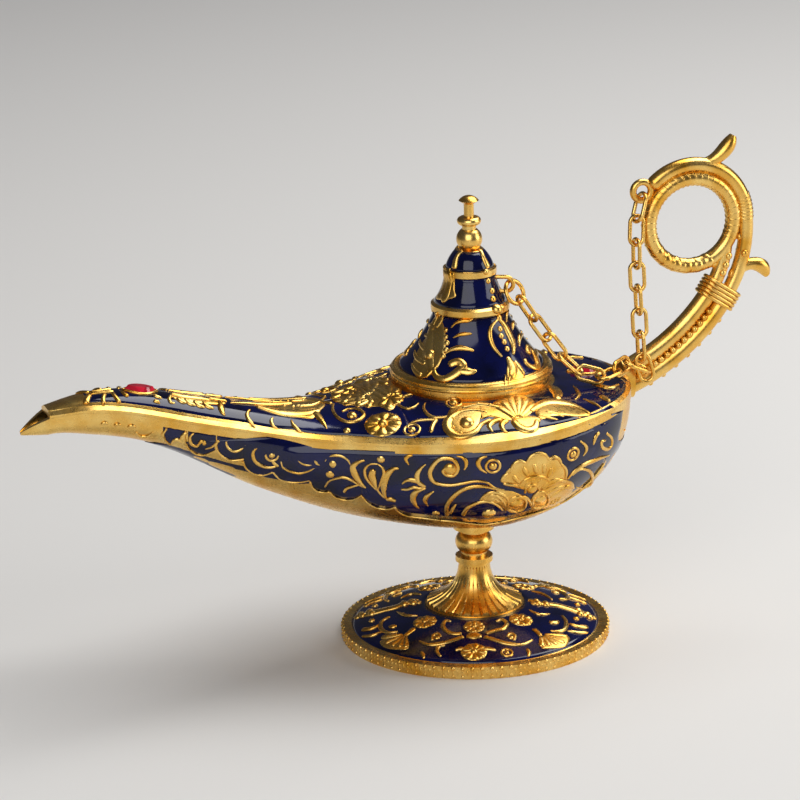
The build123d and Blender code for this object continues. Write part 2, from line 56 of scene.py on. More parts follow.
view_up = turn_to_lamp @ (upright * math.cos(camera_roll) - sideways * math.sin(camera_roll))
view_place = turn_to_lamp @ Vector((0, -camera_distance, camera_height))

camera_data = bpy.data.cameras.new("camera")
camera_data.sensor_width = 36
camera_data.lens = focal_pixels / image_size * camera_data.sensor_width
camera_data.clip_end = 20
camera = bpy.data.objects.new("camera", camera_data)
stand = Matrix((view_right, view_up, -view_forward)).transposed().to_4x4()
camera.matrix_world = Matrix.Translation(view_place) @ stand
bpy.context.scene.collection.objects.link(camera)
bpy.context.scene.camera = camera
bpy.context.scene.view_settings.view_transform = "Standard"


def meet(surface, start, direction, spare):
    """The point and normal where a ray meets a surface, or else those nearest to a spare place."""
    hit, normal = surface.ray_cast(start, direction)[:2]
    if hit is None:
        hit, normal = surface.find_nearest(spare)[:2]
    return hit, normal


def look(pixel, surface):
    """The point and normal of a surface that the photograph shows at a pixel."""
    across = (pixel[0] - image_size / 2) / focal_pixels
    down = (pixel[1] - image_size / 2) / focal_pixels
    ray = (view_forward + view_right * across - view_up * down).normalized()
    return meet(surface, view_place, ray, view_place + ray * view_place.length)


def sight(pixel, surface):
    """The point of a surface that the photograph shows at a pixel."""
    return look(pixel, surface)[0]


# Base plate
# A round die-cast zinc foot, gold plated. Its domed top is filled with cobalt enamel around
# raised scrolls, rosettes and shells, and its edge is reeded between two rows of beads.
gold_dark = "#E2A63C"
gold_light = "#F8D27C"
gold_cloud_size = 7 * mm
gold_cloud_range = (0.3, 0.7)
gold_ripple_size = 1.4 * mm
gold_ripple_depth = 0.1 * mm
gold_dullness = (0.2, 0.36)
enamel_deep = "#02041C"
enamel_bright = "#080F48"
enamel_cloud_size = 9 * mm
enamel_cloud_range = (0.32, 0.72)
enamel_flow_size = 4 * mm
enamel_flow_depth = 0.15 * mm
enamel_dullness = (0.05, 0.14)
enamel_lift = 0.06 * mm
enamel_thickness = 0.16 * mm
relief_sink = 0.12 * mm
relief_height = 0.55 * mm
relief_steepness = 0.6
least_width = 0.1
least_columns = 8
tangent_step = 0.01
pad_height = 0.3 * mm
pad_fullness = 0.4
petal_ring = 0.8
petal_shares = (0.2, 0.62, 1)
petal_swell = (0.4, 1, 1.1)
boss_share = 0.3
boss_proud = 0.9
rib_shares = (0.12, 0.55, 1)
rib_swell = (0.45, 0.9, 1)
ring_dot_wire = 0.38 * mm
merge_distance = 0.002 * mm
seam_distance = 0.001 * mm
sky_height = 300 * mm
deck_level = 100 * mm


def linear(colour):
    """An sRGB hex colour as linear red, green, blue and alpha."""
    channels = [int(colour[start:start + 2], 16) / 255 for start in (1, 3, 5)]
    return [c / 12.92 if c <= 0.04045 else ((c + 0.055) / 1.055) ** 2.4 for c in channels] + [1.0]


def add_node(tree, kind, inputs=None, **settings):
    """A node with its settings, and each input linked to a socket or set to a value."""
    made = tree.nodes.new(kind)
    for name, value in settings.items():
        setattr(made, name, value)
    for name, value in (inputs or {}).items():
        if isinstance(value, bpy.types.NodeSocket):
            tree.links.new(value, made.inputs[name])
        else:
            made.inputs[name].default_value = value
    return made


def new_material(name, settings):
    """A material whose shader has some inputs set, with its node tree and that shader."""
    made = bpy.data.materials.new(name)
    made.use_nodes = True
    shader = made.node_tree.nodes["Principled BSDF"]
    for socket, value in settings.items():
        shader.inputs[socket].default_value = value
    return made, made.node_tree, shader


def set_stops(tint, positions, colours):
    """Gives a colour ramp its two stops."""
    for stop, position, colour in zip(tint.color_ramp.elements, positions, colours):
        stop.position = position
        stop.color = linear(colour)


def polished_gold():
    """Gold plate on polished zinc: bright, with soft clouding and the cast skin's faint ripple."""
    made, tree, shader = new_material("polished_gold_plate", {"Metallic": 1.0})
    place = add_node(tree, "ShaderNodeTexCoord").outputs["Object"]
    cloud = add_node(tree, "ShaderNodeTexNoise",
                     {"Vector": place, "Scale": 1 / gold_cloud_size, "Detail": 3}).outputs["Fac"]
    tint = add_node(tree, "ShaderNodeValToRGB", {"Fac": cloud})
    set_stops(tint, gold_cloud_range, (gold_dark, gold_light))
    ripple = add_node(tree, "ShaderNodeTexNoise",
                      {"Vector": place, "Scale": 1 / gold_ripple_size, "Detail": 2}).outputs["Fac"]
    dullness = add_node(tree, "ShaderNodeMapRange",
                        {"Value": ripple, "To Min": gold_dullness[0], "To Max": gold_dullness[1]})
    bump = add_node(tree, "ShaderNodeBump",
                    {"Height": ripple, "Strength": 0.12, "Distance": gold_ripple_depth})
    tree.links.new(tint.outputs["Color"], shader.inputs["Base Color"])
    tree.links.new(dullness.outputs["Result"], shader.inputs["Roughness"])
    tree.links.new(bump.outputs["Normal"], shader.inputs["Normal"])
    return made


def cobalt_enamel():
    """Fired cobalt enamel: deep and glassy, with a slightly uneven, flowed surface."""
    glassy = {"IOR": 1.52, "Specular IOR Level": 0.35, "Coat Weight": 0.15, "Coat Roughness": 0.03}
    made, tree, shader = new_material("cobalt_enamel", glassy)
    place = add_node(tree, "ShaderNodeTexCoord").outputs["Object"]
    cloud = add_node(tree, "ShaderNodeTexNoise",
                     {"Vector": place, "Scale": 1 / enamel_cloud_size, "Detail": 3}).outputs["Fac"]
    tint = add_node(tree, "ShaderNodeValToRGB", {"Fac": cloud})
    set_stops(tint, enamel_cloud_range, (enamel_deep, enamel_bright))
    flow = add_node(tree, "ShaderNodeTexNoise",
                    {"Vector": place, "Scale": 1 / enamel_flow_size, "Detail": 1}).outputs["Fac"]
    bump = add_node(tree, "ShaderNodeBump",
                    {"Height": flow, "Strength": 0.1, "Distance": enamel_flow_depth})
    gloss = add_node(tree, "ShaderNodeMapRange",
                     {"Value": cloud, "To Min": enamel_dullness[0], "To Max": enamel_dullness[1]})
    tree.links.new(tint.outputs["Color"], shader.inputs["Base Color"])
    tree.links.new(gloss.outputs["Result"], shader.inputs["Roughness"])
    tree.links.new(bump.outputs["Normal"], shader.inputs["Normal"])
    return made


gold = polished_gold()
enamel = cobalt_enamel()


def finish_node(name, material):
    """A casting of the frame takes its finish."""
    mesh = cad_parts[name].data
    mesh.materials.clear()
    mesh.materials.append(material)


def surface_of(name):
    """The skin of a casting, for what sits on it."""
    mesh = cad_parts[name].data
    return BVHTree.FromPolygons([v.co for v in mesh.vertices], [p.vertices for p in mesh.polygons])


def between(a, b, c, d, t):
    """A value from b to c on the smooth line through four knots."""
    bend = (a * 2 - b * 5 + c * 4 - d) * (t * t / 2)
    twist = (b * 3 - a - c * 3 + d) * (t ** 3 / 2)
    return b + (c - a) * (t / 2) + bend + twist


def smooth(knots, share):
    """A value on the smooth line through the knots, at a share of the way along."""
    last = len(knots) - 1
    span = share * last
    index = min(int(span), last - 1)
    before = knots[max(index - 1, 0)]
    after = knots[min(index + 2, last)]
    return between(before, knots[index], knots[index + 1], after, span - index)


def ridge(work, surface, points, widths, height=relief_height, steps=5):
    """A raised half-round line that follows a surface, with rounded ends and a swelling width."""
    length = sum((b - a).length for a, b in zip(points, points[1:]))
    stations = {}
    columns = max(least_columns, steps * (len(points) - 1))
    grid = bmesh.ops.create_grid(work, x_segments=columns, y_segments=8, size=1)
    for vertex in grid["verts"]:
        key = round(vertex.co.x, 5)
        if key not in stations:
            share = (1 - math.cos(math.pi * (key + 1) / 2)) / 2
            before = smooth(points, max(share - tangent_step, 0))
            after = smooth(points, min(share + tangent_step, 1))
            middle, normal = surface.find_nearest(smooth(points, share))[:2]
            width = max(smooth(widths, share), least_width) * mm
            room = min(share, 1 - share) * length / (width / 2)
            ending = math.sqrt(max(0, 1 - (1 - min(room, 1)) ** 2))
            across = normal.cross(after - before).normalized()
            rise = min(height, width * relief_steepness) * ending
            stations[key] = middle, across, width * ending, rise
        middle, across, width, rise = stations[key]
        turn = math.pi * (vertex.co.y + 1)
        foot, normal = surface.find_nearest(middle + across * (width / 2 * math.cos(turn)))[:2]
        lift = math.sin(turn)
        vertex.co = foot + normal * (rise * lift if lift > 0 else relief_sink * lift)


def standing(surface, point):
    """A matrix that stands on a surface at the place nearest to a point."""
    place, normal = surface.find_nearest(point)[:2]
    return Matrix.Translation(place) @ normal.to_track_quat("Z", "Y").to_matrix().to_4x4()


def bead(work, surface, point, radius, proud=0.75):
    """A round boss on a surface."""
    size = Matrix.Diagonal((radius * mm, radius * mm, radius * proud * mm, 1))
    matrix = standing(surface, point) @ size
    bmesh.ops.create_uvsphere(work, u_segments=12, v_segments=8, radius=1, matrix=matrix)


def join(work, part):
    """Adds a part that was made by itself to the work."""
    blank = bpy.data.meshes.new("part")
    part.to_mesh(blank)
    part.free()
    work.from_mesh(blank)
    bpy.data.meshes.remove(blank)


def hoop(work, radius, wire, matrix, steps):
    """A round ring of wire about the Z axis of its own matrix."""
    ring = bmesh.new()
    start = Matrix.Translation((radius, 0, 0)) @ Matrix.Rotation(math.pi / 2, 4, "X")
    bmesh.ops.create_circle(ring, segments=8, radius=wire, matrix=start)
    turned = ring.verts[:] + ring.edges[:]
    bmesh.ops.spin(ring, geom=turned, axis=(0, 0, 1), angle=2 * math.pi, steps=steps, use_merge=True)
    bmesh.ops.transform(ring, matrix=matrix, verts=ring.verts)
    join(work, ring)


def cushion(work, columns, spot, height):
    """A low pad of metal with a rounded edge: spot gives its places round and in from the edge."""
    grid = bmesh.ops.create_grid(work, x_segments=columns, y_segments=10, size=1)
    for vertex in grid["verts"]:
        turn = vertex.co.y * math.pi / 2
        foot, normal = spot((vertex.co.x + 1) / 2, math.cos(turn))
        lift = math.sin(turn)
        vertex.co = foot + normal * (height * lift ** pad_fullness if lift > 0 else relief_sink * lift)


def loop(knots, share):
    """A value on the smooth closed line through the knots, at a share of the way round."""
    count = len(knots)
    span = share * count
    whole = int(span + 1e-6)
    a, b, c, d = [knots[(whole + step) % count] for step in (-1, 0, 1, 2)]
    return between(a, b, c, d, max(span - whole, 0))


def plate(work, surface, pixels):
    """A flat gold field under finer relief, from its outline in pixels."""
    outline = [Vector(pixel) for pixel in pixels]
    area = sum(b.x * a.y - a.x * b.y for a, b in zip(outline, outline[1:] + outline[:1]))
    if area < 0:
        outline.reverse()
    middle = sum(outline, Vector((0, 0))) / len(outline)

    def spot(u, s):
        return look(middle + (loop(outline, u) - middle) * s, surface)

    cushion(work, 4 * len(outline), spot, pad_height)


def ring_dot(work, surface, point, radius, dot):
    """A small ring with a boss in its middle."""
    hoop(work, radius * mm, ring_dot_wire, standing(surface, point), steps=18)
    bead(work, surface, point, dot)


def rosette(work, surface, point, radius, petals):
    """A flower of round-ended petals about a boss."""
    place, normal = surface.find_nearest(point)[:2]
    side = (Vector((1, 0, 0)) - normal * normal.x).normalized()
    other = normal.cross(side)
    petal_width = 2 * math.pi * radius * petal_ring / petals

    def disc(u, s):
        turn = 2 * math.pi * u
        out = side * math.cos(turn) + other * math.sin(turn)
        return surface.find_nearest(place + out * radius * mm * s)[:2]

    cushion(work, 24, disc, pad_height)
    for index in range(petals):
        angle = 2 * math.pi * (index + 0.5) / petals
        out = (side * math.cos(angle) + other * math.sin(angle)) * radius * mm
        points = [place + out * share for share in petal_shares]
        ridge(work, surface, points, [petal_width * swell for swell in petal_swell], steps=4)
    bead(work, surface, place, radius * boss_share, boss_proud)


def fan(work, surface, hub, tips, width):
    """A shell of ribs that spread from a hub to their round tips."""
    start = sight(hub, surface)
    for tip in tips:
        end = sight(tip, surface)
        points = [start.lerp(end, share) for share in rib_shares]
        ridge(work, surface, points, [width * swell for swell in rib_swell], steps=4)


def set_out(work, surface, make, places):
    """Sets out bosses, ring dots or rosettes: each has its pixel and then its sizes."""
    for pixel, *sizes in places:
        make(work, surface, sight(pixel, surface), *sizes)


def draw(work, surface, strokes, height=relief_height, swell=1):
    """Scrolls and leaves: each has its widths at start, middle and end, and then its line in pixels."""
    for widths, *pixels in strokes:
        points = [sight(pixel, surface) for pixel in pixels]
        ridge(work, surface, points, [width * swell for width in widths], height)


def copy_about_axis(work, turns):
    """Repeats all that is drawn so far round the lamp's upright axis."""
    drawn = work.verts[:] + work.edges[:] + work.faces[:]
    for index in range(1, turns):
        copied = bmesh.ops.duplicate(work, geom=drawn)["geom"]
        verts = [part for part in copied if isinstance(part, bmesh.types.BMVert)]
        turn = Matrix.Rotation(2 * math.pi * index / turns, 3, "Z")
        bmesh.ops.rotate(work, verts=verts, cent=(0, 0, 0), matrix=turn)


def skin(work, columns, rows, spot):
    """A thin fill of enamel: spot gives the carrying surface's point and normal at two shares."""
    sheet = bmesh.new()
    bmesh.ops.create_grid(sheet, x_segments=columns, y_segments=rows, size=1)
    normals = {}
    for vertex in sheet.verts:
        place, normals[vertex] = spot((vertex.co.x + 1) / 2, (vertex.co.y + 1) / 2)
        vertex.co = place + normals[vertex] * enamel_lift
    sheet.normal_update()
    if sum(face.normal.dot(normals[face.verts[0]]) for face in sheet.faces) < 0:
        bmesh.ops.reverse_faces(sheet, faces=sheet.faces)
    bmesh.ops.remove_doubles(sheet, verts=sheet.verts, dist=seam_distance)
    join(work, sheet)


def thicken(piece):
    """Gives a skin its thickness, inwards."""
    wall = piece.modifiers.new("thickness", "SOLIDIFY")
    wall.thickness = enamel_thickness
    wall.offset = -1
    wall.use_even_offset = False


def finish_piece(name, work, material, body):
    """Closes the work, and hands it over as a piece that rides on a body."""
    bmesh.ops.remove_doubles(work, verts=work.verts, dist=merge_distance)
    bmesh.ops.dissolve_degenerate(work, edges=work.edges, dist=seam_distance)
    mesh = bpy.data.meshes.new(name)
    work.to_mesh(mesh)
    work.free()
    mesh.shade_smooth()
    mesh.materials.append(material)
    piece = bpy.data.objects.new(name, mesh)
    bpy.context.scene.collection.objects.link(piece)
    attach(piece, body)
    return piece


def drop(x, y, surface):
    """The point and normal straight below a place in plan, in metres."""
    return meet(surface, Vector((x, y, sky_height)), Vector((0, 0, -1)), Vector((x, y, deck_level)))


finish_node("base_plate", gold)
base = surface_of("base_plate")
base_enamel_inner = 13.0 * mm
base_enamel_outer = 32.5 * mm


def base_spot(u, v):
    """Places round the base, and from the bell out to the rim."""
    angle = 2 * math.pi * u
    radius = base_enamel_inner + (base_enamel_outer - base_enamel_inner) * v
    return drop(radius * math.cos(angle), radius * math.sin(angle), base)


work = bmesh.new()
skin(work, 96, 14, base_spot)
thicken(finish_piece("base_enamel", work, enamel, "lamp"))

base_strokes = (
    ((1.0, 2.4, 1.0), (466, 637), (474, 636), (482, 637)),
    ((0.9, 1.0, 0.5), (462, 634), (452, 634), (445, 630), (443, 625), (446, 621), (451, 622)),
    ((0.9, 1.0, 0.5), (486, 634), (495, 631), (503, 629), (507, 624), (502, 620), (496, 622)),
    ((0.9, 1.1, 0.4), (464, 637), (452, 641), (440, 644), (428, 645), (419, 641)),
    ((0.9, 1.1, 0.4), (484, 637), (497, 641), (508, 644), (522, 645), (533, 640)),
    ((0.5, 0.8, 0.4), (432, 641), (433, 636), (438, 634), (441, 637)),
    ((0.5, 0.8, 0.4), (514, 641), (515, 636), (510, 634), (507, 637)),
    ((0.5, 0.9, 0.4), (441, 657), (437, 652), (439, 647), (445, 646)),
    ((0.5, 1.0, 0.5), (455, 651), (461, 649), (466, 650)),
    ((0.5, 1.0, 0.5), (482, 650), (488, 649), (496, 651)),
    ((0.6, 0.9, 0.5), (421, 652), (423, 655), (424, 659)),
    ((0.6, 0.9, 0.5), (527, 649), (529, 653), (528, 657)),
    ((1.4, 1.0, 1.0), (415, 628), (409, 633), (404, 637)),
    ((1.4, 1.0, 1.0), (533, 629), (538, 633), (541, 637)),
    ((0.5, 1.0, 0.4), (390, 617), (382, 622), (381, 629), (388, 633), (398, 632)),
    ((0.5, 1.0, 0.4), (562, 616), (566, 622), (565, 629), (558, 632), (550, 631)),
    ((0.8, 1.3, 0.8), (389, 627), (393, 627), (397, 626)),
    ((0.8, 1.3, 0.8), (549, 623), (554, 623), (559, 622)),
    ((1.6, 2.0, 1.2), (354, 619), (366, 614), (380, 611), (393, 608), (405, 604), (419, 600)),
    ((1.2, 2.0, 1.6), (528, 600), (541, 604), (554, 605), (566, 608), (580, 612), (593, 618)),
    ((1.3, 1.2, 0.4), (362, 630), (371, 629), (381, 625)),
    ((0.4, 1.2, 1.3), (569, 624), (578, 627), (588, 627)),
    ((0.6, 0.9, 0.3), (362, 637), (372, 636), (382, 632)),
    ((0.3, 0.9, 0.6), (567, 631), (577, 633), (588, 633)),
    ((0.3, 0.8, 0.3), (397, 612), (406, 616), (418, 616)),
    ((0.3, 0.8, 0.3), (529, 610), (539, 615), (550, 614)),
)
base_plates = (
    ((380, 641), (383, 647), (391, 649.5), (400, 650), (408, 649), (409, 641), (406, 636), (395, 636)),
    ((541, 648), (550, 649), (559, 648.5), (567, 645.5), (570, 638), (563, 635), (551, 635), (541, 637)),
)
base_swell = 1.45
base_rosettes = (((474, 627), 2.9, 8), ((474, 652), 3.5, 9), ((425, 622), 3.2, 9), ((521, 620), 3.2, 9))
base_shells = (
    ((406, 635), ((381, 638), (384, 644), (391, 647), (399, 648), (406, 648))),
    ((541, 635), ((568, 637), (565, 644), (558, 646), (550, 647), (542, 647))),
)
base_rib_width = 1.9
base_beads = (
    ((372, 621), 0.9), ((437, 638), 0.8), ((576, 619), 0.9), ((511, 638), 0.8), ((361, 615), 1.2),
    ((370, 612), 1.2), ((404, 604), 1.2), ((412, 602), 1.2), ((536, 602), 1.2), ((545, 604), 1.2),
    ((578, 611), 1.2), ((587, 615), 1.2),
)
base_ring_dots = (((507, 653), 1.4, 0.7),)
work = bmesh.new()
for outline in base_plates:
    plate(work, base, outline)
draw(work, base, base_strokes, swell=base_swell)
set_out(work, base, rosette, base_rosettes)
for hub, tips in base_shells:
    fan(work, base, hub, tips, base_rib_width)
set_out(work, base, bead, base_beads)
set_out(work, base, ring_dot, base_ring_dots)
copy_about_axis(work, 2)
finish_piece("base_scrolls", work, gold, "lamp")

rim_bead_count = 88
rim_radius = 34.85 * mm
rim_rows = ((2.7 * mm, 0.62 * mm), (0.6 * mm, 0.5 * mm))
reed_count = 2 * rim_bead_count
reed_height = 1.65 * mm
reed_half_length = 0.8 * mm
reed_shape = Matrix.Diagonal((0.4, 0.5, 1, 1))
work = bmesh.new()
for height, radius in rim_rows:
    place = Matrix.Translation((rim_radius, 0, height))
    for index in range(rim_bead_count):
        turn = Matrix.Rotation(2 * math.pi * index / rim_bead_count, 4, "Z")
        bmesh.ops.create_uvsphere(work, u_segments=8, v_segments=6, radius=radius, matrix=turn @ place)
for index in range(reed_count):
    turn = Matrix.Rotation(2 * math.pi * index / reed_count, 4, "Z")
    place = Matrix.Translation((rim_radius, 0, reed_height)) @ reed_shape
    bmesh.ops.create_uvsphere(work, u_segments=6, v_segments=6, radius=reed_half_length, matrix=turn @ place)
finish_piece("base_rim_beads", work, gold, "lamp")

# Stem
# A fluted bell and a turned knop, cast and gold plated, drawn down on to the base by a hidden
# threaded rod.
finish_node("stem_bell", gold)
finish_node("stem_knop", gold)
finish_node("stem_rod", gold)

# Bowl
# The lower half of the hull, a hollow gold-plated casting. Under its lip a band of cobalt
# enamel with a scalloped lower edge lies around raised scrolls, a tulip and a shell.
finish_node("bowl", gold)
bowl = surface_of("bowl")
lip_line = (
    (160, 428), (190, 435), (220, 440.5), (250, 445), (280, 448.8), (310, 451), (350, 453), (400, 454.5),
    (440, 455), (470, 454.5), (500, 452), (530, 448), (560, 441.5), (590, 432), (606, 424),
)
scallops = (
    ((163, 437), (167, 443), (172, 443), (178, 440), (185, 442)),
    ((188, 447), (196, 453), (204, 455), (212, 452), (216, 449)),
    ((217, 449), (222, 456), (230, 460), (238, 460), (243, 459)),
    ((243, 460), (246, 468), (253, 473), (262, 475), (272, 473)),
    ((272, 473), (280, 479), (290, 482), (300, 482), (310, 480)),
    ((310, 480), (313, 488), (320, 492), (330, 492)),
    ((330, 492), (335, 497), (345, 500), (355, 499), (362, 495)),
    ((362, 496), (368, 503), (378, 508), (388, 509), (395, 507)),
    ((395, 507), (399, 512), (408, 516), (424, 518), (440, 520)),
    ((440, 520), (455, 521), (470, 523), (485, 524), (500, 522)),
    ((500, 522), (520, 517), (540, 511), (560, 503)),
    ((560, 503), (575, 494), (590, 481), (604, 463)),
)
rear_band_top = 63.6 * mm
rear_band_foot = 53.5 * mm
rear_upper_pixel = (620, 411)
rear_lower_pixel = (616, 445)
rear_column = 604
rear_row = 463
bowl_middle = Vector((10, 0, 62)) * mm
well_outside = 3
behind_bowl = 100 * mm
rows_above = 11
row_step = 0.5
row_count = 48
lip_clearance = 0.6
least_band = 0.5


def on_lines(knots, x):
    """The second value on the straight lines through the knots, at a first value."""
    index = next(i for i in range(len(knots) - 1) if knots[i + 1][0] >= x)
    a, b = knots[index], knots[index + 1]
    return a[1] + (b[1] - a[1]) * (x - a[0]) / (b[0] - a[0])


def lip_edge(x):
    """The pixel row where the bowl's side comes out from under its lip, at a pixel column."""
    guess = on_lines(lip_line, min(max(x, lip_line[0][0]), lip_line[-1][0]))
    rows = [guess - rows_above + row_step * step for step in range(row_count)]
    depths = [(look((x, row), bowl)[0] - view_place).dot(view_forward) for row in rows]
    drops = [b - a for a, b in zip(depths, depths[1:])]
    return rows[drops.index(max(drops)) + 1] + lip_clearance


def rear_of_bowl(height):
    """The bowl's rearmost point at a height."""
    return bowl.ray_cast(Vector((behind_bowl, 0, height)), Vector((-1, 0, 0)))[0]


def band_spot(arc):
    """Places on the bowl between the lip and one scallop, both given in pixels."""
    lower = [Vector(pixel) for pixel in arc]
    tops = {}

    def spot(u, v):
        foot = smooth(lower, u)
        if foot.x not in tops:
            tops[foot.x] = min(lip_edge(foot.x), foot.y - least_band)
        return look((foot.x, tops[foot.x] + (foot.y - tops[foot.x]) * v), bowl)
    return spot


def rear_spot(upper, lower):
    """Places round the rear of the bowl between two lines, seen from outside towards its middle."""
    def spot(u, v):
        place = smooth(upper, u).lerp(smooth(lower, u), v)
        outside = bowl_middle + (place - bowl_middle) * well_outside
        return meet(bowl, outside, (bowl_middle - outside).normalized(), outside)
    return spot


def mirror_sides(work):
    """Repeats all that is drawn so far on the far side of the lamp."""
    copied = bmesh.ops.duplicate(work, geom=work.verts[:] + work.edges[:] + work.faces[:])["geom"]
    verts = [part for part in copied if isinstance(part, bmesh.types.BMVert)]
    faces = [part for part in copied if isinstance(part, bmesh.types.BMFace)]
    bmesh.ops.scale(work, vec=(1, -1, 1), verts=verts)
    bmesh.ops.reverse_faces(work, faces=faces)


work = bmesh.new()
for arc in scallops:
    skin(work, max(10, round((arc[-1][0] - arc[0][0]) / 2)), 12, band_spot(arc))
rear_start = (rear_column, on_lines(lip_line, rear_column))
upper = [sight(rear_start, bowl), sight(rear_upper_pixel, bowl), rear_of_bowl(rear_band_top)]
lower = [sight((rear_column, rear_row), bowl), sight(rear_lower_pixel, bowl), rear_of_bowl(rear_band_foot)]
skin(work, 20, 12, rear_spot(upper, lower))
mirror_sides(work)
thicken(finish_piece("bowl_enamel", work, enamel, "lamp"))

bowl_strokes = (
    ((0.6, 1.0, 0.5), (167, 428), (163, 434), (165, 440), (171, 445)),
    ((0.8, 1.5, 0.8), (172, 443), (175, 440), (179, 440), (182, 443)),
    ((0.8, 1.7, 0.8), (187, 432), (183, 436), (184, 443), (190, 450)),
    ((0.5, 1.0, 0.6), (194, 433), (190, 437), (191, 443), (196, 446), (199, 445)),
    ((0.5, 1.0, 1.2), (196, 446), (199, 444), (201, 441), (204, 442), (204, 445)),
    ((0.5, 0.8, 0.3), (217, 440), (215, 444), (211, 447), (205, 449)),
    ((1.0, 0.8, 0.6), (219, 440), (216, 444), (217, 450), (222, 456), (230, 460), (238, 460),
     (244, 459)),
    ((0.6, 0.6, 0.6), (189, 449), (196, 454), (204, 455), (212, 452), (217, 450)),
    ((0.6, 0.9, 0.5), (226, 441), (227, 446), (231, 450), (236, 451), (241, 449), (245, 445),
     (247, 442)),
    ((0.9, 1.1, 0.8), (259, 446), (254, 450), (253, 456), (256, 462), (263, 466), (270, 467),
     (276, 466)),
    ((0.6, 0.6, 0.6), (243, 461), (246, 468), (253, 473), (262, 475), (273, 472)),
    ((0.6, 1.1, 0.8), (272, 460), (275, 464), (279, 466)),
    ((0.4, 0.8, 0.4), (281, 460), (284, 456), (290, 455), (296, 458), (302, 463), (308, 465),
     (315, 464), (325, 463)),
    ((0.6, 0.8, 0.4), (281, 461), (283, 467), (290, 471), (299, 473), (308, 471), (316, 467),
     (322, 464)),
    ((0.3, 0.9, 0.5), (315, 455), (315, 460), (318, 464), (324, 465)),
    ((0.6, 0.6, 0.6), (273, 472), (280, 479), (290, 482), (300, 482), (310, 480)),
    ((0.6, 0.6, 0.6), (310, 481), (313, 488), (320, 492), (330, 492)),
    ((0.5, 1.0, 0.5), (325, 462), (328, 457), (335, 455), (342, 456), (348, 460), (351, 466)),
    ((0.5, 1.0, 0.5), (325, 487), (329, 481), (336, 478), (344, 477), (352, 480), (358, 484),
     (366, 488)),
    ((0.9, 1.0, 0.4), (344, 492), (347, 488), (353, 486), (359, 485)),
    ((0.6, 2.1, 0.6), (365, 460), (358, 462), (353, 467), (356, 476), (361, 483), (366, 488)),
    ((0.5, 0.9, 0.5), (378, 464), (370, 464), (365, 469), (366, 477), (371, 484), (377, 490)),
    ((1.6, 2.2, 0.5), (374, 469), (372, 475), (374, 482), (377, 489)),
    ((0.5, 1.0, 0.4), (378, 464), (383, 468), (384, 474), (381, 482), (378, 490)),
    ((0.7, 2.1, 0.7), (399, 468), (393, 469), (387, 475), (384, 484), (384, 492), (386, 498)),
    ((0.6, 0.7, 0.7), (377, 489), (381, 494), (386, 498)),
    ((0.9, 1.7, 0.8), (386, 499), (391, 499), (396, 501)),
    ((0.4, 1.4, 0.6), (409, 465), (406, 459), (408, 456), (413, 455)),
    ((0.4, 1.5, 0.6), (426, 464), (420, 469), (417, 476), (419, 483), (425, 487)),
    ((0.4, 1.6, 0.6), (402, 484), (407, 480), (413, 480), (419, 482), (425, 486)),
    ((0.6, 1.1, 0.5), (401, 489), (407, 489), (414, 487), (420, 488), (426, 486)),
    ((0.5, 1.9, 0.4), (426, 488), (420, 490), (415, 493), (413, 499), (416, 505), (419, 508)),
    ((0.4, 1.5, 0.4), (434, 491), (428, 495), (425, 500), (428, 506)),
    ((0.9, 1.3, 0.5), (447, 466), (443, 471), (447, 475), (454, 475), (458, 468), (454, 460),
     (446, 458), (438, 460), (432, 467), (430, 474), (433, 481), (440, 484), (451, 485), (463, 483),
     (475, 481), (486, 482), (494, 487), (500, 489)),
    ((0.4, 1.2, 0.4), (456, 456), (462, 457), (466, 461), (466, 466), (464, 470)),
    ((0.6, 1.4, 0.4), (487, 456), (481, 458), (478, 463), (481, 469), (487, 473)),
    ((1.2, 1.4, 0.6), (447, 515), (447, 506), (452, 498), (460, 491), (470, 487), (482, 486),
     (494, 488), (504, 490)),
    ((1.3, 1.1, 0.6), (463, 515), (467, 508), (476, 503), (487, 501), (496, 504), (503, 510)),
    ((0.9, 1.0, 0.4), (450, 513), (453, 508), (456, 504)),
    ((0.6, 1.3, 0.8), (480, 500), (486, 494), (495, 492), (505, 496), (510, 503)),
    ((0.8, 1.4, 0.8), (505, 510), (510, 502), (518, 497), (527, 498), (532, 506)),
    ((0.7, 2.2, 0.6), (541, 488), (549, 482), (558, 480), (566, 482)),
    ((0.7, 2.0, 0.6), (545, 494), (554, 489), (563, 487), (572, 489)),
    ((0.6, 1.7, 0.5), (567, 479), (574, 471), (583, 465), (592, 461), (602, 457), (609, 455)),
    ((0.6, 1.1, 0.4), (572, 475), (580, 469), (588, 470), (592, 476), (590, 484), (583, 488),
     (576, 487)),
    ((0.5, 1.1, 0.4), (580, 441), (585, 445), (586, 450), (583, 456)),
    ((1.0, 1.3, 0.5), (599, 432), (595, 437), (593, 445)),
    ((0.8, 1.2, 0.8), (606, 433), (611, 438), (611, 445), (607, 449), (602, 447), (601, 442),
     (605, 440)),
    ((0.5, 1.5, 0.6), (629, 416), (628, 422), (624, 430)),
    ((0.7, 1.0, 0.5), (101, 425), (104, 422.5), (108, 424)),
    ((0.7, 1.0, 0.5), (114, 426), (117, 424), (121, 425)),
    ((0.7, 1.1, 0.5), (128, 428), (131, 425.5), (136, 427)),
    ((0.5, 1.1, 0.4), (136, 432), (140, 436), (147, 436), (153, 432)),
)
scallop_wires = ((0.6, scallops[6:9]), (0.8, scallops[9:]))
shell_height = 0.75 * mm
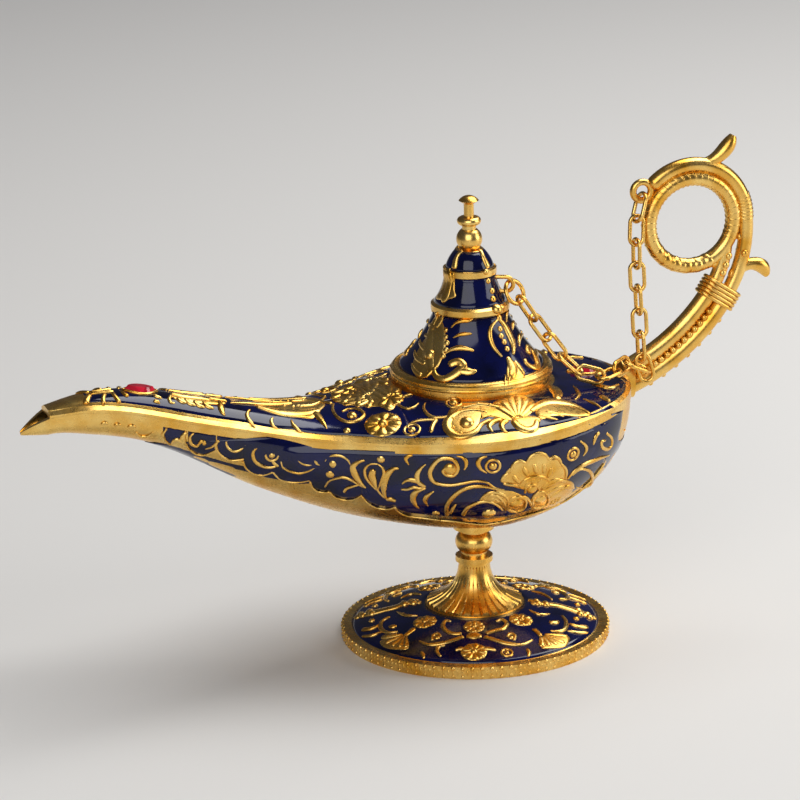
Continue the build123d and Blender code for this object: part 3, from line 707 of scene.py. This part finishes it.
shell_strokes = (
    ((0.8, 1.0, 0.8), (501.5, 482), (503.5, 476), (510, 472.5)),
    ((0.8, 1.0, 0.8), (510, 473), (513, 465), (519, 460.5), (526, 463)),
    ((0.8, 1.0, 0.8), (526, 463), (531, 456), (538, 453), (545, 454.5), (549, 460)),
    ((0.8, 1.0, 0.8), (549, 459), (554, 456.5), (559, 459), (561, 464)),
    ((0.8, 1.0, 0.8), (561, 464), (565, 468), (566, 473), (565, 478)),
    ((0.7, 1.5, 1.0), (512, 474), (515, 478), (520, 483)),
    ((0.7, 1.6, 1.0), (522, 466), (525, 471), (528, 476)),
    ((0.7, 1.6, 1.0), (533, 463), (535, 468), (536, 473)),
    ((0.7, 1.6, 1.0), (543, 463), (544, 468), (543, 473)),
    ((0.7, 1.6, 1.0), (551, 467), (550, 472), (547, 477)),
    ((0.8, 1.3, 0.8), (503, 483), (510, 484), (518, 485)),
    ((0.8, 1.2, 0.8), (519, 487), (524, 480), (534, 476), (544, 477), (551, 482)),
    ((0.5, 0.9, 0.5), (524, 489), (526, 484), (529, 481)),
    ((0.5, 0.9, 0.5), (531, 483), (532, 480), (534, 478.5)),
    ((0.5, 0.9, 0.5), (537, 483), (539, 480), (542, 479)),
    ((0.7, 1.0, 0.7), (525, 493), (526, 487), (532, 484), (538, 487), (539, 493)),
    ((0.9, 1.1, 0.9), (507, 507), (509, 500), (517, 496), (525, 499), (524, 507), (516, 511),
     (508, 509)),
    ((0.9, 1.1, 0.9), (532, 505), (533, 497), (540, 491), (547, 494), (547, 502), (540, 507),
     (533, 507)),
    ((0.8, 1.2, 0.6), (542, 489), (553, 482), (562, 479.5), (572, 483)),
    ((0.8, 1.2, 0.6), (549, 497), (559, 490), (568, 485), (574, 488)),
    ((0.7, 1.0, 0.7), (484, 500), (493, 494), (501, 499), (506, 506)),
    ((0.5, 0.8, 0.5), (489, 501), (494, 498), (499, 502)),
)
bowl_plates = (
    ((501, 482), (504, 474), (510, 467), (519, 461), (528, 460), (535, 453), (545, 454), (551, 459),
     (559, 458), (564, 466), (567, 475), (566, 482), (553, 486), (540, 490), (526, 490), (512, 487)),
    ((481, 499), (492, 491), (507, 490), (518, 493), (525, 498), (522, 509), (513, 513), (505, 509),
     (498, 505), (489, 502)),
    ((531, 498), (541, 491), (553, 485), (565, 480), (573, 482), (574, 488), (567, 498), (556, 506),
     (544, 509), (532, 509)),
)
bowl_beads = (
    ((333, 464), 1.2, 0.5), ((330, 474), 1.2, 0.5), ((381, 459), 1.1, 0.5), ((450, 469), 1.7, 0.5),
    ((436, 513), 1.0, 0.5), ((489, 513), 1.9, 0.5), ((516, 503), 1.9, 0.5), ((540, 499), 1.8, 0.5),
    ((532, 489), 1.5, 0.5),
)
bowl_ring_dots = (((272, 455), 1.6, 0.9), ((493, 466), 1.8, 1.1), ((573, 454), 1.7, 1.0))
bowl_rosettes = (((555, 500), 1.9, 6),)
work = bmesh.new()
for outline in bowl_plates:
    plate(work, bowl, outline)
draw(work, bowl, bowl_strokes)
for width, arcs in scallop_wires:
    draw(work, bowl, [((width, width, width), *arc) for arc in arcs])
draw(work, bowl, shell_strokes, shell_height)
set_out(work, bowl, bead, bowl_beads)
set_out(work, bowl, ring_dot, bowl_ring_dots)
set_out(work, bowl, rosette, bowl_rosettes)
mirror_sides(work)
finish_piece("bowl_scrolls", work, gold, "lamp")

# Deck
# The upper half of the hull and the spout's roof, cast and gold plated like the bowl. Its arched
# top is enamelled inside the bright lip, around acanthus leaves, crescents and rosettes.
finish_node("deck", gold)
deck = surface_of("deck")
hull_half_breadths = (
    (-113.0, 4.4), (-104.0, 6.4), (-92.0, 8.2), (-78.0, 9.9), (-64.0, 11.6), (-52.0, 14.2), (-40.0, 19.8),
    (-26.0, 27.8), (-12.0, 34.2), (2.0, 36.7),
)
hull_rear_length = 39.8
hull_rear_fullness = 2.3
lip_width = 2.3
roof_enamel_start = -103.0
roof_enamel_end = -24.0
deck_enamel_end = 39.5
hull_tail = 41
lid_ring_edge = 21.5
reach_step = 0.1


def half_breadth(x):
    """Half the hull's breadth inside the lip, at a place along its length, in millimetres."""
    x_middle, breadth = hull_half_breadths[-1]
    if x >= x_middle:
        share = min((x - x_middle) / hull_rear_length, 1)
        return breadth * (1 - share ** hull_rear_fullness) ** (1 / hull_rear_fullness) - lip_width
    return on_lines(hull_half_breadths, x) - lip_width


def roof_spot(u, v):
    """Places along the spout's roof, and from its near lip to its crest."""
    x = roof_enamel_start + (roof_enamel_end - roof_enamel_start) * u
    return drop(x * mm, -half_breadth(x) * (1 - v) * mm, deck)


def reach(angle):
    """How far the deck's enamel runs from the lamp's axis at an angle in plan."""
    radius = lid_ring_edge
    while radius * math.sin(angle) < half_breadth(min(radius * math.cos(angle), hull_tail)):
        radius += reach_step
        if not roof_enamel_end <= radius * math.cos(angle) <= deck_enamel_end:
            break
    return radius


def deck_spot(u, v):
    """Places round the near half of the deck, and from the lid out to the lip."""
    angle = math.pi * u
    radius = lid_ring_edge + (reach(angle) - lid_ring_edge) * v
    return drop(radius * math.cos(angle) * mm, -radius * math.sin(angle) * mm, deck)


work = bmesh.new()
skin(work, 90, 12, roof_spot)
skin(work, 110, 12, deck_spot)
mirror_sides(work)
thicken(finish_piece("deck_enamel", work, enamel, "lamp"))

deck_strokes = (
    ((1.8, 1.8, 1.8), (86, 404), (87, 399), (90, 394)),
    ((1.1, 1.2, 1.1), (104, 404), (103, 399), (105, 394)),
    ((1.1, 1.3, 1.1), (120, 403), (116, 398), (112, 393)),
    ((1.6, 1.8, 1.4), (90, 394), (101, 392.5), (114, 392)),
    ((0.4, 1.3, 1.2), (120, 391), (124, 394), (128, 397)),
    ((1.2, 1.4, 0.4), (153, 395), (157, 397), (162, 399)),
    ((1.0, 1.2, 0.4), (153, 401), (157, 402), (160, 404)),
    ((1.2, 2.6, 1.0), (170, 394), (180, 396), (195, 398), (210, 401)),
    ((1.2, 1.6, 0.4), (176, 398), (182, 402), (187, 403)),
    ((1.2, 1.6, 0.4), (184, 399), (190, 404), (196, 406)),
    ((1.2, 1.6, 0.4), (193, 401), (199, 406), (205, 408)),
    ((1.2, 1.6, 0.4), (202, 402), (208, 407), (214, 409)),
    ((1.0, 1.0, 0.4), (172, 395), (169, 399), (171, 403), (175, 403)),
    ((0.8, 1.6, 0.8), (208, 399), (216, 400), (227, 402)),
    ((1.4, 2.0, 0.4), (219, 401), (221, 407), (222, 412), (225, 416)),
    ((0.5, 1.3, 0.9), (230, 403), (246, 404), (262, 405), (280, 405), (292, 404)),
    ((0.8, 4.4, 2.6), (256, 407), (272, 411), (288, 413), (305, 413), (320, 410)),
    ((1.0, 1.6, 0.9), (290, 402), (305, 401), (320, 402), (332, 404)),
    ((2.4, 1.8, 0.3), (314, 412), (321, 420), (327, 429)),
    ((0.8, 1.3, 0.5), (250, 410), (247, 414), (248, 419), (252, 424), (255, 428)),
    ((0.6, 1.1, 0.3), (273, 418), (271, 421), (273, 426), (278, 429)),
    ((0.5, 1.1, 0.3), (291, 420), (293, 425), (298, 430), (302, 433)),
    ((0.8, 1.2, 0.6), (333, 404), (333, 411), (338, 418), (346, 422), (355, 422), (362, 418),
     (364, 414), (359, 410), (350, 409), (342, 412)),
    ((0.9, 1.6, 0.4), (402, 398), (407, 396), (413, 395)),
    ((0.6, 0.9, 0.4), (398, 405), (406, 409), (413, 408), (419, 403)),
    ((0.4, 1.1, 0.7), (425, 403), (424, 409), (428, 415), (436, 418), (448, 417)),
    ((0.5, 0.9, 0.7), (408, 428), (410, 424), (418, 421), (428, 420), (437, 420)),
    ((1.0, 1.2, 1.0), (437, 420), (433, 425), (431, 433)),
    ((1.6, 2.8, 1.2), (488, 413), (478, 411), (468, 411), (458, 413), (450, 418), (447, 425),
     (450, 432), (458, 436), (468, 435), (476, 431), (481, 425), (491, 420)),
    ((1.0, 2.0, 0.8), (462, 409), (472, 406), (484, 405), (495, 407), (506, 411), (515, 417)),
    ((2.0, 1.8, 0.4), (502, 419), (493, 422), (489, 427), (493, 432)),
    ((2.0, 1.6, 0.3), (508, 420), (502, 424), (503, 430), (508, 433)),
    ((2.2, 2.8, 1.6), (513, 420), (519, 427), (528, 430), (535, 427), (537, 420)),
    ((1.6, 4.2, 0.8), (530, 412), (540, 405), (551, 402), (563, 403), (576, 407), (590, 415)),
    ((2.4, 2.2, 0.6), (558, 400), (556, 394), (552, 389), (549, 386)),
    ((1.0, 0.9, 0.3), (545, 412), (555, 414), (564, 417)),
    ((1.0, 0.9, 0.3), (537, 415), (548, 418), (558, 420)),
    ((0.4, 1.3, 0.4), (573, 386), (577, 391), (579, 396), (575, 400)),
    ((0.4, 1.1, 0.3), (583, 399), (590, 402), (596, 405), (602, 409)),
    ((1.0, 2.6, 0.8), (592, 384), (600, 386), (610, 388), (619, 385)),
    ((1.4, 2.0, 0.8), (600, 396), (605, 399), (610, 402)),
)
gem_half_length = 4.6 * mm
gem_half_width = 2.85 * mm
gem_places = (-88.5 * mm, 31.0 * mm)
gem_setting = ((-1, 0), (-0.5, 0.72), (0, 1), (0.5, 0.72), (1, 0))
deck_plates = (
    ((446, 420), (449, 410), (457, 404), (467, 403), (479, 405), (484, 412), (480, 420), (478, 430),
     (470, 437), (458, 437), (449, 430)),
    ((478, 405), (488, 406), (498, 409), (508, 414), (512, 420), (506, 421), (496, 418), (487, 417),
     (480, 419)),
    ((495, 410), (492, 404), (499, 399), (507, 396), (518, 395), (528, 397), (535, 402), (536, 409),
     (528, 416), (518, 421), (506, 417)),
    ((535, 413), (540, 404), (550, 400), (560, 401), (573, 404), (585, 409), (591, 415), (580, 417),
     (565, 416), (550, 417), (541, 420)),
    ((512, 420), (520, 417), (532, 416), (541, 419), (536, 429), (528, 431), (519, 428)),
    ((548, 387), (553, 386), (560, 389), (563, 396), (557, 398), (551, 393)),
    ((332, 400), (333, 394), (342, 389), (352, 384), (366, 379), (378, 376), (390, 380), (400, 387),
     (402, 393), (398, 401), (395, 408), (389, 411), (380, 407), (368, 407), (355, 406), (343, 405)),
    ((253, 405), (262, 403), (280, 402), (300, 401), (318, 402), (326, 405), (319, 412), (313, 419),
     (300, 418), (285, 417), (270, 413)),
    ((170, 394), (185, 395), (205, 398), (222, 401), (226, 404), (214, 405), (200, 404), (186, 402),
     (174, 399)),
)
deck_shells = (
    ((370, 398), ((333, 401), (333, 395), (341, 390), (352, 386), (365, 382), (380, 378)), 2.2),
    ((372, 400), ((343, 405), (356, 407), (368, 408)), 2.0),
    ((390, 398), ((379, 390), (389, 386), (400, 388), (404, 396), (399, 404), (389, 409), (379, 406)), 2.6),
    ((518, 421), ((495, 405), (501, 400), (509, 397), (518, 396), (527, 398), (534, 403)), 2.8),
)
deck_rosettes = (((383, 424), 4.8, 8),)
deck_beads = (
    ((275, 405), 0.6, 1.0), ((284, 406), 0.6, 1.0), ((293, 407), 0.6, 1.0), ((301, 407), 0.6, 1.0),
    ((308, 406), 0.6, 1.0), ((453, 419), 0.55, 1.4), ((453, 428), 0.55, 1.4), ((461, 434), 0.55, 1.4),
    ((478, 405), 0.55, 1.4), ((490, 406), 0.55, 1.4), ((500, 409), 0.55, 1.4), ((467, 423), 2.0, 0.75),
    ((347, 431), 1.0, 0.75), ((352, 416), 1.4, 0.75),
)
deck_ring_dots = (((412, 430), 2.0, 1.0), ((454, 403), 2.0, 1.1))
work = bmesh.new()
for outline in deck_plates:
    plate(work, deck, outline)
draw(work, deck, deck_strokes)
for hub, tips, width in deck_shells:
    fan(work, deck, hub, tips, width)
set_out(work, deck, rosette, deck_rosettes)
set_out(work, deck, bead, deck_beads)
set_out(work, deck, ring_dot, deck_ring_dots)
for place in gem_places:
    points = [drop(place + a * gem_half_length, -b * gem_half_width, deck)[0] for a, b in gem_setting]
    ridge(work, deck, points, (0.8, 1.0, 0.8))
mirror_sides(work)
finish_piece("deck_scrolls", work, gold, "lamp")

# Stones
# Two marquise stones of red glass, cut with a flat table. Each sits in a pocket on the deck's
# crest and is held by the gold rim around it.
# The stones' darker and lighter reds are painted shade and painted light, standing in for the light and
# shade of the facets.
stone_red_painted_shade = "#7A0613"
stone_red_painted_light = "#D8203A"
painted_facet_light_size = 1.6 * mm


def red_glass():
    """Red paste stone: clear deep colour with sharp, glassy facets, and painted light and shade of the
    facets in cells of lighter and darker red.
    """
    glassy = {"Roughness": 0.06, "IOR": 1.6, "Coat Weight": 0.5}
    made, tree, shader = new_material("red_paste_stone", glassy)
    place = add_node(tree, "ShaderNodeTexCoord").outputs["Object"]
    # Facet-sized cells of darker and lighter red: painted light and shade of the facets.
    painted_facet_light = add_node(tree, "ShaderNodeTexVoronoi", {"Vector": place, "Scale": 1 / painted_facet_light_size})
    tint = add_node(tree, "ShaderNodeValToRGB", {"Fac": painted_facet_light.outputs["Color"]})
    set_stops(tint, (0, 1), (stone_red_painted_shade, stone_red_painted_light))
    tree.links.new(tint.outputs["Color"], shader.inputs["Base Color"])
    return made


ruby = red_glass()
finish_node("spout_gem", ruby)
finish_node("rear_gem", ruby)

# Handle
# One gold-plated casting screwed to the hull from inside: two strands bound together, a finger
# ring dressed as rope, a smooth outer band, an eye for the chain and two leaves.
finish_node("handle", gold)
finish_node("handle_screw", gold)
handle = surface_of("handle")
finger_centre = Vector((61.2, 0, 105.5)) * mm
ring_middle = 11.8 * mm
ring_wire = 2.0 * mm
band_middle = 15.35 * mm
band_wire = 1.95 * mm
strand_centre = Vector((23.9, 0, 115.9)) * mm
strand_middle = 54.2 * mm
strand_radius = 2.35 * mm
binding_angle = -34.0


def in_plane(centre, radius, degrees):
    """A point of the handle's own plane, and the outward direction there."""
    angle = math.radians(degrees)
    out = Vector((math.cos(angle), 0, math.sin(angle)))
    return centre + out * radius, out


def rope_turn(work, radius, degrees, wire, length, slant):
    """One slanted turn of rope lying on a round wire about the finger's hole."""
    place, out = in_plane(finger_centre, radius, degrees)
    tangent = Vector((0, 1, 0)).cross(out)
    turn = Matrix((tangent, out, tangent.cross(out))).transposed().to_4x4()
    lean = Matrix.Rotation(math.radians(slant), 4, out)
    size = Matrix.Diagonal((length, wire, wire, 1))
    matrix = Matrix.Translation(place) @ lean @ turn @ size
    bmesh.ops.create_uvsphere(work, u_segments=12, v_segments=8, radius=1, matrix=matrix)


# Each run has its count of turns, first angle, step, radius, wire, half length and slant.
rope_runs = (
    (29, -22, 8, ring_middle, ring_wire * 1.1, 1.05 * mm, 24),
    (6, 216, 15, ring_middle, ring_wire * 1.07, 2.6 * mm, 32),
    (7, 1, 3.6, band_middle, band_wire * 1.12, 0.7 * mm, 24),
)
work = bmesh.new()
for turns, first, step, radius, wire, length, slant in rope_runs:
    for index in range(turns):
        rope_turn(work, radius, first + step * index, wire, length, slant)
finish_piece("handle_rope", work, gold, "lamp")

groove_bead = 0.85 * mm
groove_bead_count = 13
groove_first = -65
groove_step = 2.1
groove_offset = 1.75 * mm
spine_bead = 0.8 * mm
spine_bead_count = 7
spine_first = -64
spine_step = 4
neck_beads = ((738, 236), (733, 247), (729, 256), (726, 265), (723, 273))
neck_bead_radius = 1.0


def grain(work, place, radius):
    """A small round grain of gold at a place."""
    matrix = Matrix.Translation(place)
    bmesh.ops.create_uvsphere(work, u_segments=10, v_segments=7, radius=radius, matrix=matrix)


work = bmesh.new()
for index in range(groove_bead_count):
    for side in (-1, 1):
        middle = in_plane(strand_centre, strand_middle, groove_first + groove_step * index)[0]
        grain(work, middle + Vector((0, side * groove_offset, 0)), groove_bead)
for index in range(spine_bead_count):
    spine = strand_middle + 2 * strand_radius
    grain(work, in_plane(strand_centre, spine, spine_first + spine_step * index)[0], spine_bead)
for pixel in neck_beads:
    point = sight(pixel, handle)
    for side in (1, -1):
        bead(work, handle, Vector((point.x, point.y * side, point.z)), neck_bead_radius)
finish_piece("handle_beads", work, gold, "lamp")

binding_turns = 5
binding_pitch = 1.05 * mm
binding_wire = 0.55 * mm
binding_half_width = 2.95 * mm
binding_half_straight = 2.45 * mm
binding_segments = 32
work = bmesh.new()
spot, out = in_plane(strand_centre, strand_middle, binding_angle)
along = Vector((0, 1, 0)).cross(out)
for index in range(binding_turns):
    middle = spot + along * binding_pitch * (index - (binding_turns - 1) / 2)
    grid = bmesh.ops.create_grid(work, x_segments=binding_segments, y_segments=8, size=1)
    for vertex in grid["verts"]:
        turn = math.pi * (vertex.co.x + 1) + math.pi / binding_segments
        section = math.pi * (vertex.co.y + 1)
        normal = out * math.cos(turn) + Vector((0, math.sin(turn), 0))
        shift = out * math.copysign(binding_half_straight, math.cos(turn))
        path = middle + shift + normal * binding_half_width
        round_wire = normal * binding_wire * math.cos(section)
        vertex.co = path + round_wire + along * binding_wire * math.sin(section)
bmesh.ops.remove_doubles(work, verts=work.verts, dist=merge_distance)
bmesh.ops.recalc_face_normals(work, faces=work.faces)
finish_piece("handle_binding", work, gold, "lamp")

# Lid
# A hollow pagoda-shaped casting that drops into the deck on a spigot, with a turned finial and
# a wire eye. Its three tiers are enamelled between gold rings, with ribs, crescents and feathers.
finish_node("lid", gold)
finish_node("lid_finial", gold)
finish_node("lid_eye", gold)
lid = surface_of("lid")
lid_tiers = ((74.3, 88.5), (91.1, 98.3), (100.0, 104.6))
lid_flange_rings = ((20.45, 72.5, 0.65), (20.0, 73.85, 0.55))
outside_lid = 50 * mm
tier_row = 0.8


def tier_spot(low, high):
    """Places round one tier of the lid, between two heights in millimetres."""
    def spot(u, v):
        angle = 2 * math.pi * u
        out = Vector((math.cos(angle), math.sin(angle), 0))
        height = (low + (high - low) * v) * mm
        return lid.ray_cast(out * outside_lid + Vector((0, 0, height)), -out)[:2]
    return spot


work = bmesh.new()
for low, high in lid_tiers:
    skin(work, 72, max(6, round((high - low) / tier_row)), tier_spot(low, high))
thicken(finish_piece("lid_enamel", work, enamel, "lid"))

panel_strokes = (
    ((0.4, 1.2, 0.4), (451, 328), (456, 323), (463, 321), (469, 321), (473, 319)),
    ((0.4, 1.2, 0.5), (453, 338), (459, 335), (466, 334), (472, 334)),
    ((0.4, 1.6, 0.7), (445, 354), (451, 350), (459, 348), (467, 349), (474, 351)),
    ((1.2, 2.6, 2.2), (437, 366), (434, 371), (437, 377), (444, 379), (452, 376), (460, 370),
     (463, 366), (459, 362), (453, 363), (449, 366)),
    ((1.8, 2.4, 0.8), (457, 371), (464, 371), (471, 372), (477, 371)),
    ((1.0, 1.7, 2.0), (479, 250), (483, 257), (486, 263), (488, 268)),
)
corner_strokes = (
    ((1.8, 2.6, 4.0), (449, 269), (450, 276), (449, 286), (446, 295), (441, 300)),
    ((0.8, 4.2, 2.0), (437, 312), (433, 325), (430, 338), (428, 351), (430, 363), (431, 373)),
    ((1.4, 1.2, 0.4), (434, 330), (430, 325), (428, 318)),
    ((1.4, 1.3, 0.4), (431, 341), (426, 335), (424, 328)),
    ((1.6, 1.4, 0.4), (429, 352), (422, 346), (420, 339)),
    ((1.6, 1.5, 0.4), (426, 364), (417, 358), (415, 350)),
    ((1.2, 1.1, 0.4), (437, 328), (441, 322), (443, 315)),
    ((1.4, 1.4, 0.4), (422, 376), (415, 371), (412, 363)),
    ((1.0, 1.4, 0.6), (436, 368), (431, 372), (426, 378)),
)
leaf_strokes = (
    ((0.6, 1.4, 0.6), (498, 319), (491, 327), (490, 337), (494, 348), (502, 357)),
    ((0.8, 2.5, 0.8), (498, 319), (504, 325), (509, 334), (513, 345), (513, 355)),
    ((1.2, 3.4, 2.0), (507, 357), (511, 364), (513, 371), (510, 379)),
    ((1.0, 2.2, 1.2), (514, 361), (519, 368), (524, 375)),
)
lid_plates = (
    ((438, 313), (434, 322), (430, 332), (424, 340), (418, 350), (413, 362), (414, 374), (420, 379),
     (430, 376), (438, 368), (443, 358), (446, 346), (446, 334), (443, 322)),
    ((507, 366), (513, 363), (519, 368), (525, 377), (516, 380), (507, 380)),
    ((444, 268), (453, 271), (455, 280), (455, 290), (456, 297), (446, 300), (436, 299), (441, 290),
     (444, 280)),
)
lid_beads = (
    ((446, 330), 0.7), ((446, 337), 0.7), ((447, 343), 0.8), ((446, 350), 0.8), ((443, 356), 0.9),
    ((430, 355), 1.6), ((486, 272), 0.8), ((488, 281), 0.8), ((492, 291), 0.85), ((493, 299), 0.9),
    ((497, 309), 1.5), ((499, 318), 0.9), ((500, 329), 0.8), ((501, 336), 0.8), ((504, 342), 0.8),
    ((507, 349), 0.8),
)
work = bmesh.new()
draw(work, lid, panel_strokes)
copy_about_axis(work, 4)
feathers = bmesh.new()
for outline in lid_plates:
    plate(feathers, lid, outline)
draw(feathers, lid, corner_strokes)
draw(feathers, lid, leaf_strokes)
set_out(feathers, lid, bead, lid_beads)
copy_about_axis(feathers, 2)
join(work, feathers)
for radius, height, wire in lid_flange_rings:
    hoop(work, radius * mm, wire * mm, Matrix.Translation((0, 0, height * mm)), steps=72)
finish_piece("lid_scrolls", work, gold, "lid")

# Chain
# Oval links of drawn brass wire, bent shut through one another and gold plated. They run from a
# ring in the handle's eye to a ring in the lid's.
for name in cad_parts:
    if name.startswith("chain_link") or name in ("handle_ring", "lid_ring"):
        finish_node(name, gold)

# Studio
# A plain pale floor under three soft boxes: one overhead and to the right, one in front to the
# left and a smaller one low on the right, in a dim grey room.
floor_colour = "#DCDAD6"
floor_half_size = 4
room_grey = "#4A4A50"

# The floor is matte pale board: even, with no shine of its own.
floor_finish = {"Base Color": linear(floor_colour), "Roughness": 0.65}
pale_floor = new_material("pale_matte_floor", floor_finish)[0]
work = bmesh.new()
bmesh.ops.create_grid(work, x_segments=1, y_segments=1, size=floor_half_size)
floor_mesh = bpy.data.meshes.new("floor")
work.to_mesh(floor_mesh)
work.free()
floor_mesh.materials.append(pale_floor)
floor = bpy.data.objects.new("floor", floor_mesh)
bpy.context.scene.collection.objects.link(floor)

lights = (
    ("overhead_box", (0.55, 0.15, 1.0), (0, 0, 0.05), 0.9, 13.0),
    ("front_box", (-0.55, -1.1, 0.7), (0, 0, 0.06), 1.1, 9.0),
    ("side_box", (1.1, -0.5, 0.4), (0, 0, 0.06), 0.7, 5.0),
)
for name, place, target, size, watts in lights:
    data = bpy.data.lights.new(name, "AREA")
    data.shape = "SQUARE"
    data.size = size
    data.energy = watts
    lamp = bpy.data.objects.new(name, data)
    aim = (Vector(target) - Vector(place)).to_track_quat("-Z", "Y").to_matrix().to_4x4()
    lamp.matrix_world = Matrix.Translation(place) @ aim
    bpy.context.scene.collection.objects.link(lamp)

world = bpy.data.worlds.new("room")
world.use_nodes = True
world.node_tree.nodes["Background"].inputs["Color"].default_value = linear(room_grey)
world.node_tree.nodes["Background"].inputs["Strength"].default_value = 1.0
bpy.context.scene.world = world
